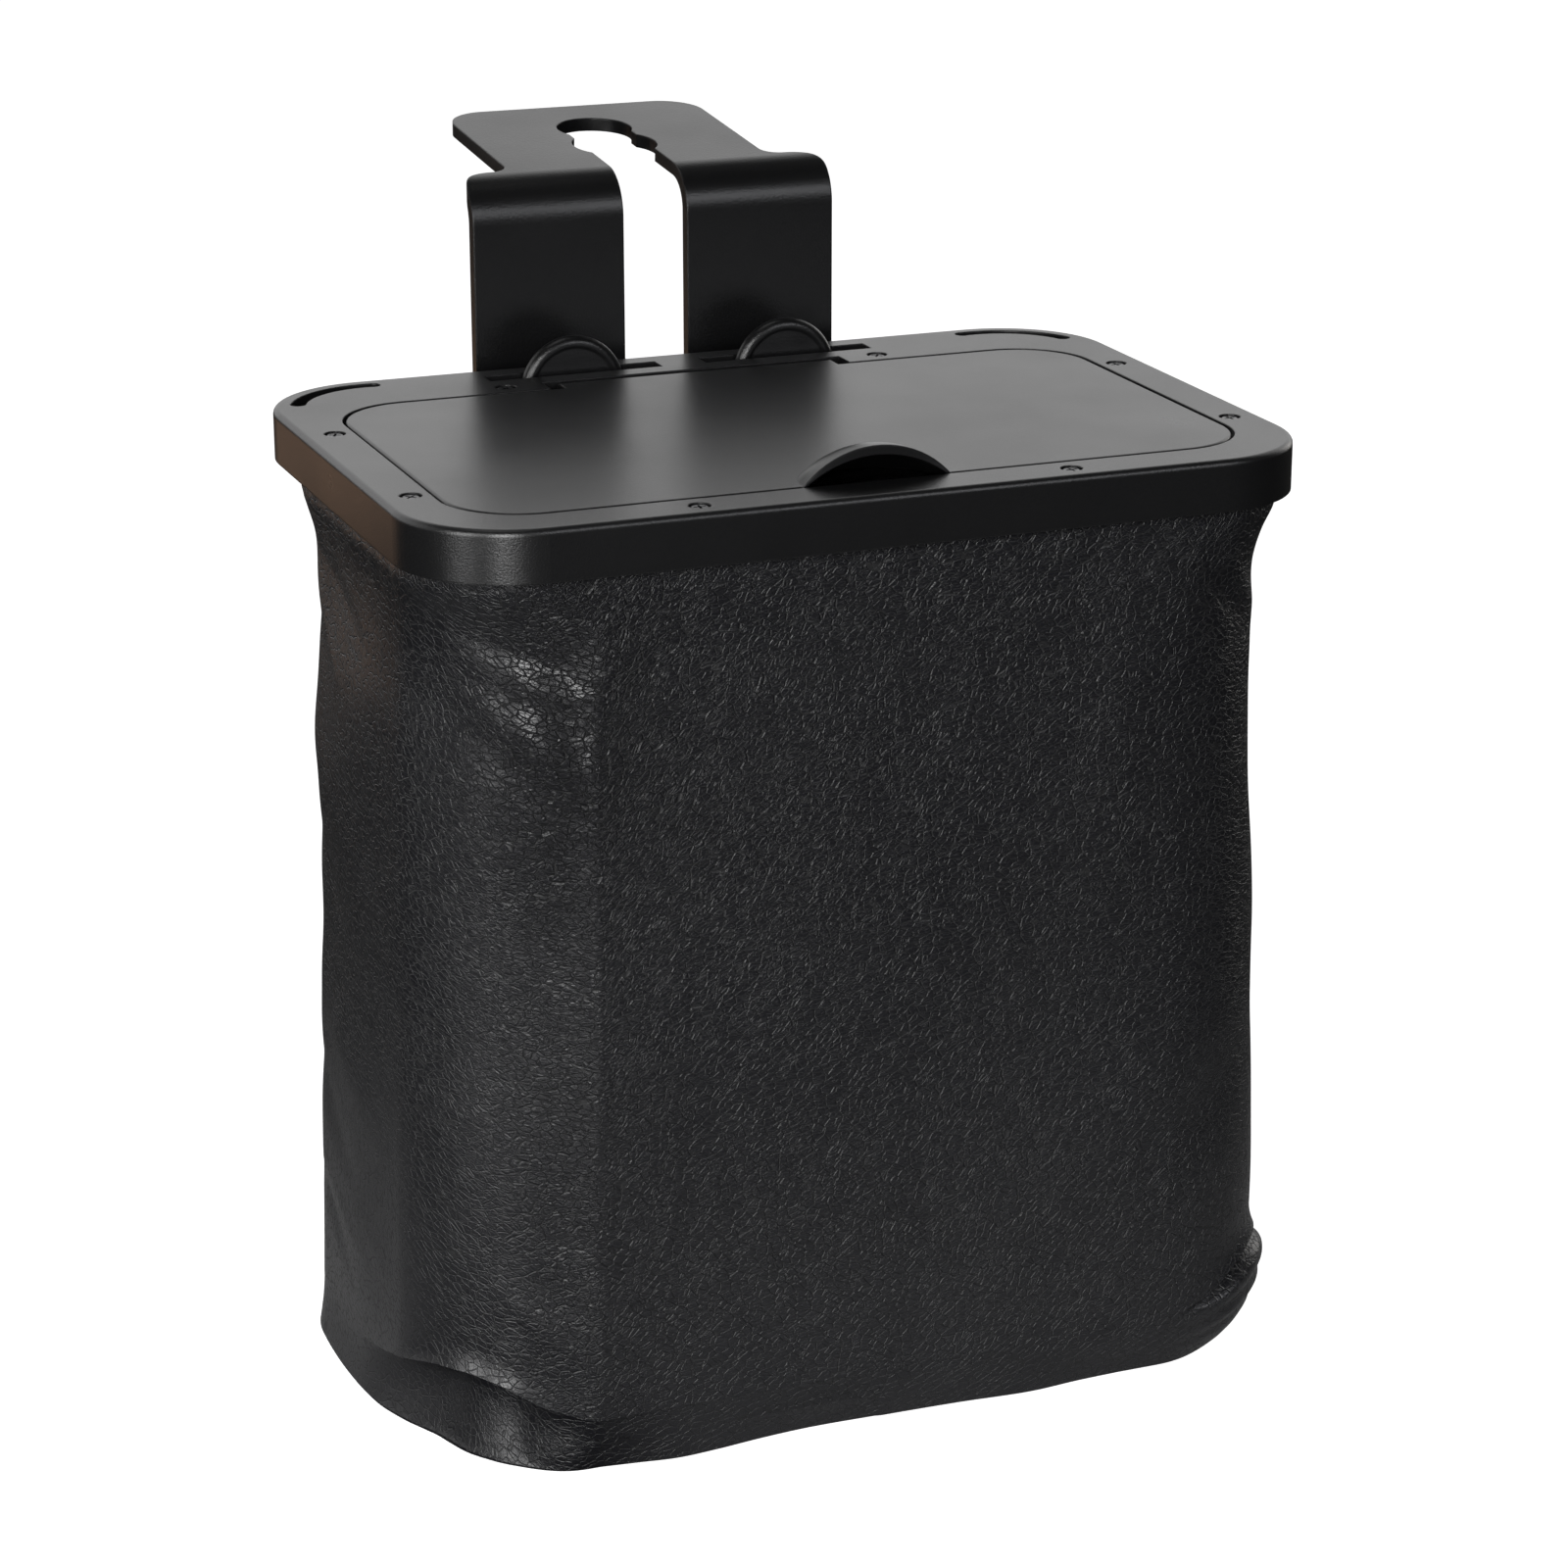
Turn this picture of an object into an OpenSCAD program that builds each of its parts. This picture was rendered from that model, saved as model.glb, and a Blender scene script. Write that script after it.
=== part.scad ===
// Hanging waste bin for a car seat: a soft leather bag under a moulded frame with a hinged lid,
// carried by a bracket that slips over a headrest post.

/* [Overall] */
// Height from the base to the top of the frame
bin_h = 254; // [200:1:300]

/* [Top frame] */
// Width of the frame
frame_w = 240; // [220:1:280]
// Depth of the frame
frame_d = 166; // [156:1:200]
// Height of the frame's skirt
frame_h = 13.5; // [12:0.5:18]
// Corner radius of the frame in plan
frame_corner = 30; // [26:1:36]
// Radius of the frame's top outer edge
frame_edge = 1.6; // [0.8:0.1:2.2]
// Thickness of the frame's top plate
plate_t = 3; // [2.8:0.1:3.4]
// Thickness of the skirt
skirt_t = 2.6; // [2:0.1:3]
// Width of the band at each side of the lid
side_band = 13.25; // [12.5:0.25:15]
// Width of the band in front of the lid
front_band = 13.5; // [13:0.25:16]
// Width of the band behind the lid
rear_band = 27.95; // [27:0.25:29]
// Width of the ledge that the lid closes on
ledge_w = 4; // [3:0.5:5]
// Thickness of the ledge
ledge_t = 1.8; // [1.4:0.1:2.4]
// Distance of the side screws from the frame's edge
screw_side_in = 8.4; // [8:0.1:9]
// Distance of the front screws from the frame's edge
screw_front_in = 7.2; // [7:0.1:8]
// Distance of the rear screws from the frame's rear edge
screw_rear_in = 22; // [21.5:0.1:23]
// Radius of the middle of the slots round the rear corners
arc_slot_r = 23.5; // [22:0.5:24]
// Width of the slots round the rear corners
arc_slot_w = 4.2; // [2:0.2:4.6]

/* [Lid] */
// Gap all round the lid
lid_gap = 0.9; // [0.7:0.1:1.2]
// Thickness of the lid
lid_t = 2.4; // [2:0.1:2.8]
// Radius of the lid's rounded upper edge
lid_edge = 0.8; // [0.4:0.1:1]
// Corner radius of the lid opening
lid_corner = 21; // [18:0.5:26]
// Depth of the stiffening rib under the lid
lid_rib_h = 4; // [2:0.5:5]
// Thickness of the stiffening rib
lid_rib_t = 1.6; // [1.2:0.1:2.4]
// Half width of the finger hood at the lid's surface
hood_half_w = 19.7; // [16:0.1:24]
// Height of the finger hood
hood_h = 8.8; // [7:0.1:11]
// Wall of the finger hood at its top
hood_t = 2.5; // [1.6:0.1:2.8]
// Wall of the finger hood at its sides
hood_side_t = 1; // [0.8:0.1:2]

/* [Hinge] */
// Length of the hinge barrel on the lid
barrel_len = 79; // [70:1:84]
// Radius of the hinge barrel
barrel_r = 3.6; // [3.2:0.1:3.8]
// Distance from the lid's rear edge back to the hinge axis
hinge_set_back = 4.75; // [4.5:0.05:5]
// Gap at each end of the barrel
barrel_end_gap = 4.1; // [3:0.1:4.5]
// Radius of the hinge pins
pin_r = 1.5; // [1.2:0.1:1.8]
// Depth that a pin reaches into the barrel
pin_depth = 12; // [8:1:16]
// Radial play of a pin in the barrel
pin_play = 0.06; // [0.03:0.01:0.1]

/* [Screws] */
// Radius of the screw heads
head_r = 2.6; // [2.2:0.1:2.6]
// Height of the screw heads
head_h = 1.4; // [1:0.1:1.5]
// Radius of the screw shanks
shank_r = 1.4; // [1.2:0.1:1.6]
// Length of the screws under the head
screw_len = 8; // [6:0.5:9]

/* [Clamping ring] */
// Height of the ring that clamps the bag
ring_h = 9.5; // [9:0.5:10]

/* [Bracket] */
// Thickness of the bracket
bracket_t = 3.8; // [3.4:0.1:4]
// Distance from the middle to the outer edge of a leg
leg_out = 53; // [50:0.5:54]
// Distance from the middle to the inner edge of a leg
leg_in = 9.4; // [8.5:0.1:10.5]
// Gap between the frame's back and the legs
leg_gap = 8.3; // [7.8:0.1:9.5]
// Outer radius of the bend at the top of the legs
bend_r = 12.4; // [10:0.1:14]
// Height of the bracket's plate over the frame, at the bend
plate_rise = 50.2; // [42:0.1:60]
// Slope of the plate up to the rear, in degrees
plate_slope = 5.4; // [0:0.1:8]
// Distance from the frame's back to the rear edge of the plate
plate_reach = 84.6; // [80:0.1:100]
// Half width of the plate
plate_half_w = 38; // [34:0.5:42]
// Corner radius of the plate's rear corners
plate_corner = 12; // [8:0.5:16]
// Radius of the keyhole
keyhole_r = 10.9; // [9.6:0.1:11.5]
// Distance from the keyhole's middle to the plate's rear edge
keyhole_in = 25; // [22:0.5:30]
// Radius of the wider place in the throat, just before the keyhole
throat_r = 12.2; // [11:0.1:12.6]
// Distance between the middles of the keyhole and that place
throat_step = 17.6; // [16:0.1:19]
// Radius of the half-moon ends of the hooks
moon_r = 14.9; // [12:0.1:16]
// Height of the half-moon ends over the frame
moon_h = 9.8; // [8:0.1:12]
// Radius of the bead along the half-moon's edge
moon_bead_r = 2.2; // [2.1:0.05:2.4]

/* [Bag] */
// Distance from the frame's back edge to the bag's rear
bag_rear_in = 14.2; // [14:0.1:15]
// Corner radius of the bag in plan
bag_corner = 40; // [34:1:44]
// Thickness of the leather
leather_t = 1.5; // [1.2:0.1:1.6]
// How deep the fold under the lip goes in at the left end
fold_in = 5; // [0:0.5:6]
// How far the fold under the lip swells out at the right end
fold_out_right = 4; // [0:0.5:6]

/* [Boards and lining] */
// Thickness of the front and back boards
board_t = 2.2; // [1.6:0.1:2.4]
// Thickness of the base board
base_board_t = 2.5; // [2:0.1:3]
// Thickness of the lining
lining_t = 0.8; // [0.6:0.1:1]

/* [Hidden] */
$fn = 96;
over = 1;
play = 0.15;
seat = 0.3;
rib_t = 1.6;
plastic = [0.10, 0.10, 0.105];
leather = [0.16, 0.16, 0.17];

// Heights over the base
top_z = bin_h;
under_z = top_z - plate_t;
skirt_z = top_z - frame_h;

// The lid's opening in the frame, as edges in plan
open_x = frame_w / 2 - side_band;
open_front = -frame_d / 2 + front_band;
open_rear = frame_d / 2 - rear_band;
open_d = open_rear - open_front;
open_mid = (open_rear + open_front) / 2;

// Hinge axis
hinge_y = open_rear - lid_gap + hinge_set_back;
hinge_z = top_z - barrel_r;
recess_x = barrel_len / 2 + barrel_end_gap;
recess_rear = hinge_y + barrel_r + 0.5;
boss_len = 6.9;
boss_drop = barrel_r + pin_r + 2.2;

// The bag's hem inside the skirt, as edges in plan
hem_in = skirt_t + seat;
hem_x = frame_w / 2 - hem_in;
hem_front = -frame_d / 2 + hem_in;
hem_rear = frame_d / 2 - bag_rear_in - 1.6;
hem_corner = frame_corner;
ring_in = leather_t + seat;
ring_x = hem_x - ring_in;
ring_front = hem_front + ring_in;
ring_rear = hem_rear - ring_in;
ring_corner = hem_corner - ring_in + 1;
ring_hole_x = open_x + 1.9;
ring_hole_front = open_front - 2.5;
ring_hole_rear = open_rear + 1.9;
ring_z = under_z - ring_h;

// Screws, as [x, y]
screw_side_y = [26.6, -41.2];
screw_front_x = 49.5;
screw_rear_x = 54.3;
screw_front_y = -frame_d / 2 + screw_front_in;
screw_rear_y = frame_d / 2 - screw_rear_in;
screw_side_x = frame_w / 2 - screw_side_in;
screws = [for (s = [-1, 1], y = screw_side_y) [s * screw_side_x, y],
          for (s = [-1, 1]) [s * screw_front_x, screw_front_y],
          for (s = [-1, 1]) [s * screw_rear_x, screw_rear_y]];
head_sink = head_h + 0.3;

// Slots round the rear corners: directions of their two ends, and how much their round ends stand out
arc_slot_from = 22;
arc_slot_to = 97;
arc_slot_end = 0.1;

// Bracket, side view: hook end, U bend under the skirt, leg, upper bend and plate
leg_y = frame_d / 2 + leg_gap;
leg_mid = (leg_in + leg_out) / 2;
slot_clear = 3;
slot_rear = frame_d / 2 - 7.4;
hook_y = slot_rear - 0.4 - bracket_t;
slot_front = hook_y - 2.4;
u_inner = (leg_y - hook_y - bracket_t) / 2;
u_outer = u_inner + bracket_t;
u_mid = leg_y - u_inner;
u_z = skirt_z - 0.25 + sqrt(pow(u_inner, 2) - pow(u_mid - frame_d / 2 + skirt_t, 2));
bend_mid_y = leg_y + bend_r;
bend_mid_z = top_z + plate_rise - bend_r;
plate_rear = frame_d / 2 + plate_reach;
keyhole_y = plate_rear - keyhole_in;
throat_y = keyhole_y - throat_step;
ear_r = 9;
ear_y = leg_y + bend_r + 0.6;
ear_fillet = 5.5;
moon_mid_z = top_z + moon_h - moon_r;

// A rectangle with round corners, from its edges
module plan(x0, x1, y0, y1, r) {
    translate([x0 + r, y0])
        square([x1 - x0 - 2 * r, y1 - y0]);
    translate([x0, y0 + r])
        square([x1 - x0, y1 - y0 - 2 * r]);
    for (x = [x0 + r, x1 - r], y = [y0 + r, y1 - r])
        translate([x, y])
            circle(r);
}

module slab(z0, z1) {
    translate([0, 0, z0])
        linear_extrude(z1 - z0)
            children();
}

// A block with round corners in plan and a rounded top outer edge
module soft_block(x, y, r, z0, z1, e) {
    slab(z0, z1 - e)
        plan(-x, x, -y, y, r);
    slab(z1 - e - min(over, e), z1)
        plan(-x + e, x - e, -y + e, y - e, r - e);
    for (sx = [-1, 1], sy = [-1, 1])
        translate([sx * (x - r), sy * (y - r), z1 - e])
            rotate_extrude()
                translate([r - e, 0])
                    circle(e, $fn = 32);
    for (s = [-1, 1]) {
        translate([-x + r, s * (y - e), z1 - e])
            rotate([0, 90, 0])
                cylinder(r = e, h = 2 * (x - r), $fn = 32);
        translate([s * (x - e), -y + r, z1 - e])
            rotate([-90, 0, 0])
                cylinder(r = e, h = 2 * (y - r), $fn = 32);
    }
}

module lid_opening(grow) {
    plan(-open_x - grow, open_x + grow, open_front - grow, open_rear + grow, lid_corner + grow);
}

// A slot along an arc, with round ends
module arc_slot() {
    out = arc_slot_r + arc_slot_w / 2;
    difference() {
        circle(out);
        circle(arc_slot_r - arc_slot_w / 2);
        rotate(arc_slot_from - 180)
            translate([-2 * out, 0])
                square([4 * out, 2 * out]);
        rotate(arc_slot_to)
            translate([-2 * out, 0])
                square([4 * out, 2 * out]);
    }
    for (a = [arc_slot_from, arc_slot_to])
        rotate(a)
            translate([arc_slot_r, 0])
                circle(arc_slot_w / 2 + arc_slot_end, $fn = 32);
}

module top_frame() {
    color(plastic)
    difference() {
        union() {
            difference() {
                soft_block(frame_w / 2, frame_d / 2, frame_corner, skirt_z, top_z, frame_edge);
                slab(skirt_z - over, under_z)
                    plan(-frame_w / 2 + skirt_t, frame_w / 2 - skirt_t,
                         -frame_d / 2 + skirt_t, frame_d / 2 - skirt_t, frame_corner - skirt_t);
            }
            // Ledge under the lid's edge
            slab(top_z - lid_t - seat - ledge_t, under_z + 0.5)
                lid_opening(1.5);
            // Rib that the bag's rear hem is clamped against
            translate([-board_half_w, hem_rear + play, ring_z])
                cube([2 * board_half_w, rib_t, ring_h + 0.5]);
            // Bosses that hold the hinge pins
            for (s = [-1, 1])
                translate([s * (recess_x + boss_len / 2), hinge_y, top_z - boss_drop / 2 - 0.5])
                    cube([boss_len, 2 * barrel_r, boss_drop - 1], center = true);
        }
        // Opening for the lid, and the step down to the ledge
        slab(top_z - lid_t - seat, top_z + over)
            lid_opening(0);
        slab(skirt_z - over, top_z)
            lid_opening(-ledge_w);
        // Recess for the hinge barrel
        translate([-recess_x, open_rear - 8, skirt_z - over])
            cube([2 * recess_x, recess_rear - open_rear + 8, frame_h + 2 * over]);
        // Holes for the hinge pins
        for (s = [-1, 1])
            translate([s * (recess_x + boss_len / 2 - 0.5), hinge_y, hinge_z])
                rotate([0, 90, 0])
                    cylinder(r = pin_r, h = boss_len + 0.2, center = true);
        // Slots that the hooks come up through
        for (s = [-1, 1])
            translate([s * leg_mid, (slot_front + slot_rear) / 2, top_z - plate_t / 2])
                cube([leg_out - leg_in + 2 * slot_clear, slot_rear - slot_front, plate_t + 2 * over], center = true);
        // Slots round the rear corners
        for (s = [0, 1])
            mirror([s, 0, 0])
                translate([frame_w / 2 - frame_corner, frame_d / 2 - frame_corner])
                    slab(under_z - over, top_z + over)
                        arc_slot();
        // Sunk seats and holes for the screws
        for (p = screws)
            translate([p[0], p[1], top_z - head_sink]) {
                cylinder(r = head_r + 0.3, h = head_sink + over);
                translate([0, 0, -frame_h])
                    cylinder(r = shank_r + 0.2, h = frame_h + over);
            }
    }
}

module lid() {
    x = open_x - lid_gap;
    y0 = open_front + lid_gap;
    y1 = open_rear - lid_gap;
    r = lid_corner - lid_gap;
    hood_r = (hood_half_w * hood_half_w + hood_h * hood_h) / (2 * hood_h);
    hood_z = top_z + hood_h - hood_r;
    hollow_r = (pow(hood_half_w - hood_side_t, 2) + pow(hood_h - hood_t, 2)) / (2 * (hood_h - hood_t));
    rib_in = ledge_w + 2.4;
    color(plastic)
    difference() {
        union() {
            translate([0, (y0 + y1) / 2, 0])
                soft_block(x, (y1 - y0) / 2, r, top_z - lid_t, top_z, lid_edge);
            // Stiffening rib round the underside
            slab(top_z - lid_t - lid_rib_h, top_z - lid_t + 0.5)
                difference() {
                    plan(-x + rib_in, x - rib_in, y0 + rib_in, y1 - rib_in, r - rib_in);
                    plan(-x + rib_in + lid_rib_t, x - rib_in - lid_rib_t,
                         y0 + rib_in + lid_rib_t, y1 - rib_in - lid_rib_t, r - rib_in - lid_rib_t);
                }
            // Tongue and hinge barrel
            translate([-barrel_len / 2, y1 - 2 * over, top_z - lid_t])
                cube([barrel_len, hinge_y - y1 + 2 * over, lid_t]);
            translate([-barrel_len / 2, hinge_y, hinge_z])
                rotate([0, 90, 0])
                    cylinder(r = barrel_r, h = barrel_len);
            // Finger hood: half of a low dome, cut off at the lid's front edge
            intersection() {
                translate([0, y0, hood_z])
                    rotate([90, 0, 0])
                        sphere(hood_r);
                translate([-hood_r, y0, top_z - lid_t])
                    cube([2 * hood_r, hood_r, hood_r]);
            }
        }
        // Hollow of the hood, open to the front and below
        translate([0, y0, top_z + hood_h - hood_t - hollow_r])
            rotate([90, 0, 0])
                sphere(hollow_r);
        // Bores for the hinge pins
        for (s = [-1, 1])
            translate([s * (barrel_len / 2 - pin_depth / 2 + 0.5), hinge_y, hinge_z])
                rotate([0, 90, 0])
                    cylinder(r = pin_r + pin_play, h = pin_depth + 2, center = true);
        // Space for the hinge bosses' neighbours: the lid's lower rear edge is bevelled
        translate([0, y1, top_z - lid_t])
            rotate([45, 0, 0])
                cube([4 * frame_w, 1.8, 1.8], center = true);
    }
}

module hinge_pins() {
    len = pin_depth + barrel_end_gap + boss_len - 1;
    color("silver")
    for (s = [-1, 1])
        translate([s * (barrel_len / 2 - pin_depth + len / 2), hinge_y, hinge_z])
            rotate([0, 90, 0])
                cylinder(r = pin_r, h = len, center = true);
}

// A pan-head screw with a cross recess
module screw() {
    difference() {
        union() {
            cylinder(r = head_r, h = head_h, $fn = 48);
            translate([0, 0, -screw_len])
                cylinder(r = shank_r, h = screw_len + 0.2, $fn = 48);
        }
        for (a = [0, 90])
            rotate(a)
                translate([0, 0, head_h])
                    cube([0.6, 3, 1.6], center = true);
    }
}

module frame_screws() {
    color("dimgray")
    for (i = [0 : len(screws) - 1])
        translate([screws[i][0], screws[i][1], top_z - head_sink])
            rotate(i * 31)
                screw();
}

module clamping_ring() {
    color(plastic)
    difference() {
        slab(ring_z, under_z)
            plan(-ring_x, ring_x, ring_front, ring_rear, ring_corner);
        slab(ring_z - over, under_z + over)
            plan(-ring_hole_x, ring_hole_x, ring_hole_front, ring_hole_rear, lid_corner);
        // Room for the hinge
        translate([-recess_x - boss_len - 1, ring_hole_rear - over, top_z - boss_drop - 0.8])
            cube([2 * (recess_x + boss_len + 1), ring_rear - ring_hole_rear + 2 * over, boss_drop]);
        for (p = screws)
            translate([p[0], p[1], ring_z - over])
                cylinder(r = shank_r + 0.05, h = ring_h + 2 * over);
    }
}

// The strip of the bracket seen from the side: U bend, leg, upper bend and plate, all at full width
module bracket_strip() {
    w = 2 * leg_out;
    // U bend under the skirt
    difference() {
        translate([-leg_out, u_mid, u_z])
            rotate([0, 90, 0])
                cylinder(r = u_outer, h = w);
        translate([-leg_out - over, u_mid, u_z])
            rotate([0, 90, 0])
                cylinder(r = u_inner, h = w + 2 * over);
        translate([-leg_out - over, u_mid - 2 * u_outer, u_z])
            cube([w + 2 * over, 4 * u_outer, 2 * u_outer]);
    }
    // Leg, in two halves that lap, so that each meets its bend face to face
    half_leg = (bend_mid_z - u_z) / 2 + over;
    translate([-leg_out, leg_y, u_z])
        cube([w, bracket_t, half_leg]);
    translate([-leg_out, leg_y, bend_mid_z])
        mirror([0, 0, 1])
            cube([w, bracket_t, half_leg]);
    // Upper bend
    difference() {
        translate([-leg_out, bend_mid_y, bend_mid_z])
            rotate([0, 90, 0])
                cylinder(r = bend_r, h = w);
        translate([-leg_out - over, bend_mid_y, bend_mid_z])
            rotate([0, 90, 0])
                cylinder(r = bend_r - bracket_t, h = w + 2 * over);
        translate([-leg_out - over, bend_mid_y - 2 * bend_r, bend_mid_z])
            mirror([0, 0, 1])
                cube([w + 2 * over, 4 * bend_r, 4 * bend_r]);
        translate([-leg_out - over, bend_mid_y, bend_mid_z])
            rotate([plate_slope, 0, 0])
                translate([0, 0, -2 * bend_r])
                    cube([w + 2 * over, 4 * bend_r, 4 * bend_r]);
    }
    // Plate
    translate([-leg_out, bend_mid_y, bend_mid_z])
        rotate([plate_slope, 0, 0])
            translate([0, 0, bend_r - bracket_t])
                cube([w, plate_rear - bend_mid_y + 3 * bracket_t, bracket_t]);
}

// Plan of the bracket: legs with round ears at the bend, and the plate
module bracket_plan() {
    plan(-leg_out, leg_out, hook_y - 2 * ear_r, ear_y, ear_r);
    plan(-plate_half_w, plate_half_w, hook_y, plate_rear, plate_corner);
    for (s = [-1, 1])
        difference() {
            translate([s * (plate_half_w + ear_fillet / 2 - over / 2), ear_y + ear_fillet / 2 - over / 2])
                square(ear_fillet + over, center = true);
            translate([s * (plate_half_w + ear_fillet), ear_y + ear_fillet])
                circle(ear_fillet);
        }
}

module headrest_bracket() {
    height = plate_rise + 30 + frame_h + 2 * u_outer;
    // Puts the holes where they are wanted on the plate's upper face
    hole_shift = bend_r * tan(plate_slope);
    color(plastic)
    difference() {
        union() {
            intersection() {
                bracket_strip();
                slab(u_z - u_outer - over, u_z + height)
                    bracket_plan();
            }
            // Half-moon ends of the hooks, with a bead along their edges
            for (s = [-1, 1])
                intersection() {
                    translate([s * leg_mid, hook_y + bracket_t / 2, moon_mid_z])
                        rotate([90, 0, 0]) {
                            cylinder(r = moon_r - moon_bead_r / 2, h = bracket_t, center = true);
                            rotate_extrude()
                                translate([moon_r - moon_bead_r, 0])
                                    circle(moon_bead_r, $fn = 32);
                        }
                    translate([s * leg_mid - 2 * moon_r, hook_y - moon_r, u_z])
                        cube([4 * moon_r, 2 * moon_r, 2 * moon_r]);
                }
        }
        // Gap between the legs, running into the plate
        translate([-leg_in, hook_y - moon_r, u_z - u_outer - over])
            cube([2 * leg_in, keyhole_y - hook_y + moon_r, height]);
        // Keyhole and the wider place before it, square to the plate
        translate([0, bend_mid_y, bend_mid_z])
            rotate([plate_slope, 0, 0]) {
                translate([0, (keyhole_y - bend_mid_y) / cos(plate_slope) + hole_shift, 0])
                    cylinder(r = keyhole_r, h = 2 * bend_r);
                translate([0, (throat_y - bend_mid_y) / cos(plate_slope) + hole_shift, 0])
                    cylinder(r = throat_r, h = 2 * bend_r);
            }
    }
}

// Tables of [depth below the frame's top, distance inside the hem's outline]
left_in_at = [[0, 0], [13.5, -0.3], [18, -0.7], [21.5, 0.1], [25, 1], [33, 2.1], [46, 2.3], [56, 1.4], [76, 0.2], [111, 0],
              [134, -0.5], [150, -1.2], [205, -2], [228, -2.9], [240, -3.6], [250, -4]];
right_in_at = [[0, 0], [13.5, -0.3], [18, -0.7], [21.5, 0], [25, 0.5], [33, 1.2], [46, 0.6], [73, 0.4], [95, -0.1],
               [116, -1.6], [138, -2.8], [159, -3.5], [192, -4.2], [212, -4.8], [225, -5], [250, -4.6]];
front_in_at = [[0, 0], [18, 0.1], [25, 0.7], [33, 1.1], [60, 1.2], [130, 0.8], [200, 0.7]];
rear_in_at = [[0, 0], [33, -0.3], [200, -1]];
corner_at = [[0, frame_corner], [13.5, frame_corner + 1], [25, bag_corner - 4], [33, bag_corner - 1], [60, bag_corner]];

// Tables of [distance behind the bag's front, height or distance], for the folded lower corners:
// height of the fold's lip, and how far the foot stands inside the wall on the left and on the right
lip_at = [[0, 7], [0.8, 12], [3.3, 20], [6.8, 24.5], [11.7, 27.5], [20.5, 28.5], [36, 25.5], [54, 18.5], [72, 11], [95, 8]];
foot_left_at = [[0, 4], [3.3, 6.5], [11.7, 8.8], [21, 9.3], [30, 9.5], [38, 8.5], [49, 3.5], [59, 0], [69, -1.7],
                [81, -2.7], [94, -3], [114, -2], [134, 1], [147, 4]];
foot_right_at = [[0, 4], [3.3, 5], [11.7, 5], [21, 3], [38, 0], [59, -2], [94, -2], [134, 1], [147, 4]];

// Table of [place across, distance] by which the foot of the front stands out in soft waves
front_wave_at = [[-76, 0], [-66, 1.6], [-56, 3.2], [-45, 2.4], [-33, 0.6], [-21, -0.6], [1, -0.3], [23, 0.5], [45, 2],
                 [58, 0.6], [70, 0]];

// The bag's outline in plan at one depth, as [x, y, normal x, normal y]
corner_steps = 9;
side_steps = 12;
end_steps = 8;
function corner(x, y, r, from) =
    [for (i = [0 : corner_steps]) let (a = from + 90 * i / corner_steps)
        [x + r * cos(a), y + r * sin(a), cos(a), sin(a)]];
function along(p, q, n) =
    [for (i = [1 : n - 1]) [for (k = [0 : 3]) p[k] + (q[k] - p[k]) * i / n]];
function outline(d) =
    let (xr = hem_x - lookup(d, right_in_at), xl = hem_x - lookup(d, left_in_at), f = hem_front + lookup(d, front_in_at),
         b = hem_rear - lookup(d, rear_in_at), r = lookup(d, corner_at),
         rf = corner(xr - r, f + r, r, -90), rr = corner(xr - r, b - r, r, 0),
         lr = corner(r - xl, b - r, r, 90), lf = corner(r - xl, f + r, r, 180), n = corner_steps)
    concat(rf, along(rf[n], rr[0], side_steps), rr, along(rr[n], lr[0], end_steps),
           lr, along(lr[n], lf[0], side_steps), lf, along(lf[n], rf[0], end_steps));
columns = len(outline(0));
// Depth at which the lower corners' folds are set out
low_depth = bin_h - 54;

// Rows of the bag's skin: fixed depths at the top, then shares of the way to the lip and to the foot
upper = [plate_t + seat, 9.5, frame_h, 18, 21.5, 25, 29, 33, 39, 46, 54, 62, 76, 90, 110, 130, 155, 180];
to_lip = [0.22, 0.44, 0.62, 0.77, 0.88, 0.95, 0.985, 1];
to_foot = [0.02, 0.06, 0.13, 0.22, 0.34, 0.46, 0.58, 0.7, 0.8, 0.88, 0.94, 0.98, 1];

// How far the skin stands out from the wall at share t of the way from the lip to the foot
function fold_out(q, t, deep) =
    let (behind = q[1] - hem_front, at_front = max(0, 1 - behind / 4),
         foot = lookup(behind, q[0] < 0 ? foot_left_at : foot_right_at) - at_front * lookup(q[0], front_wave_at))
    -foot * (1 - cos(90 * t)) * (1 - deep)
    - deep * (foot * t * t + (q[0] < 0 ? fold_in : -fold_out_right) * pow(sin(180 * pow(t, 0.6)), 0.8))
    - 0.8 * deep * exp(-pow((t - 0.03) / 0.03, 2));
function folded(q) = min(1, max(0, (lookup(q[1] - hem_front, lip_at) - 10) / 14));
function skin_point(d, i, out) = let (q = outline(d)[i]) [q[0] + q[2] * out, q[1] + q[3] * out, top_z - d];
function lip_depth(i) = bin_h - lookup(outline(low_depth)[i][1] - hem_front, lip_at);
upper_rings = [for (d = upper) let (o = outline(d)) [for (q = o) [q[0], q[1], top_z - d]]];
last = upper[len(upper) - 1];
middle_rings = [for (t = to_lip) [for (i = [0 : columns - 1])
    skin_point(last + (lip_depth(i) - last) * t, i, 0.6 * folded(outline(low_depth)[i]) * max(0, t - 0.9) * 10)]];
lower_rings = [for (t = to_foot) [for (i = [0 : columns - 1])
    let (q = outline(low_depth)[i])
    skin_point(lip_depth(i) + (bin_h - lip_depth(i)) * t, i, fold_out(q, t, folded(q)))]];

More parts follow.
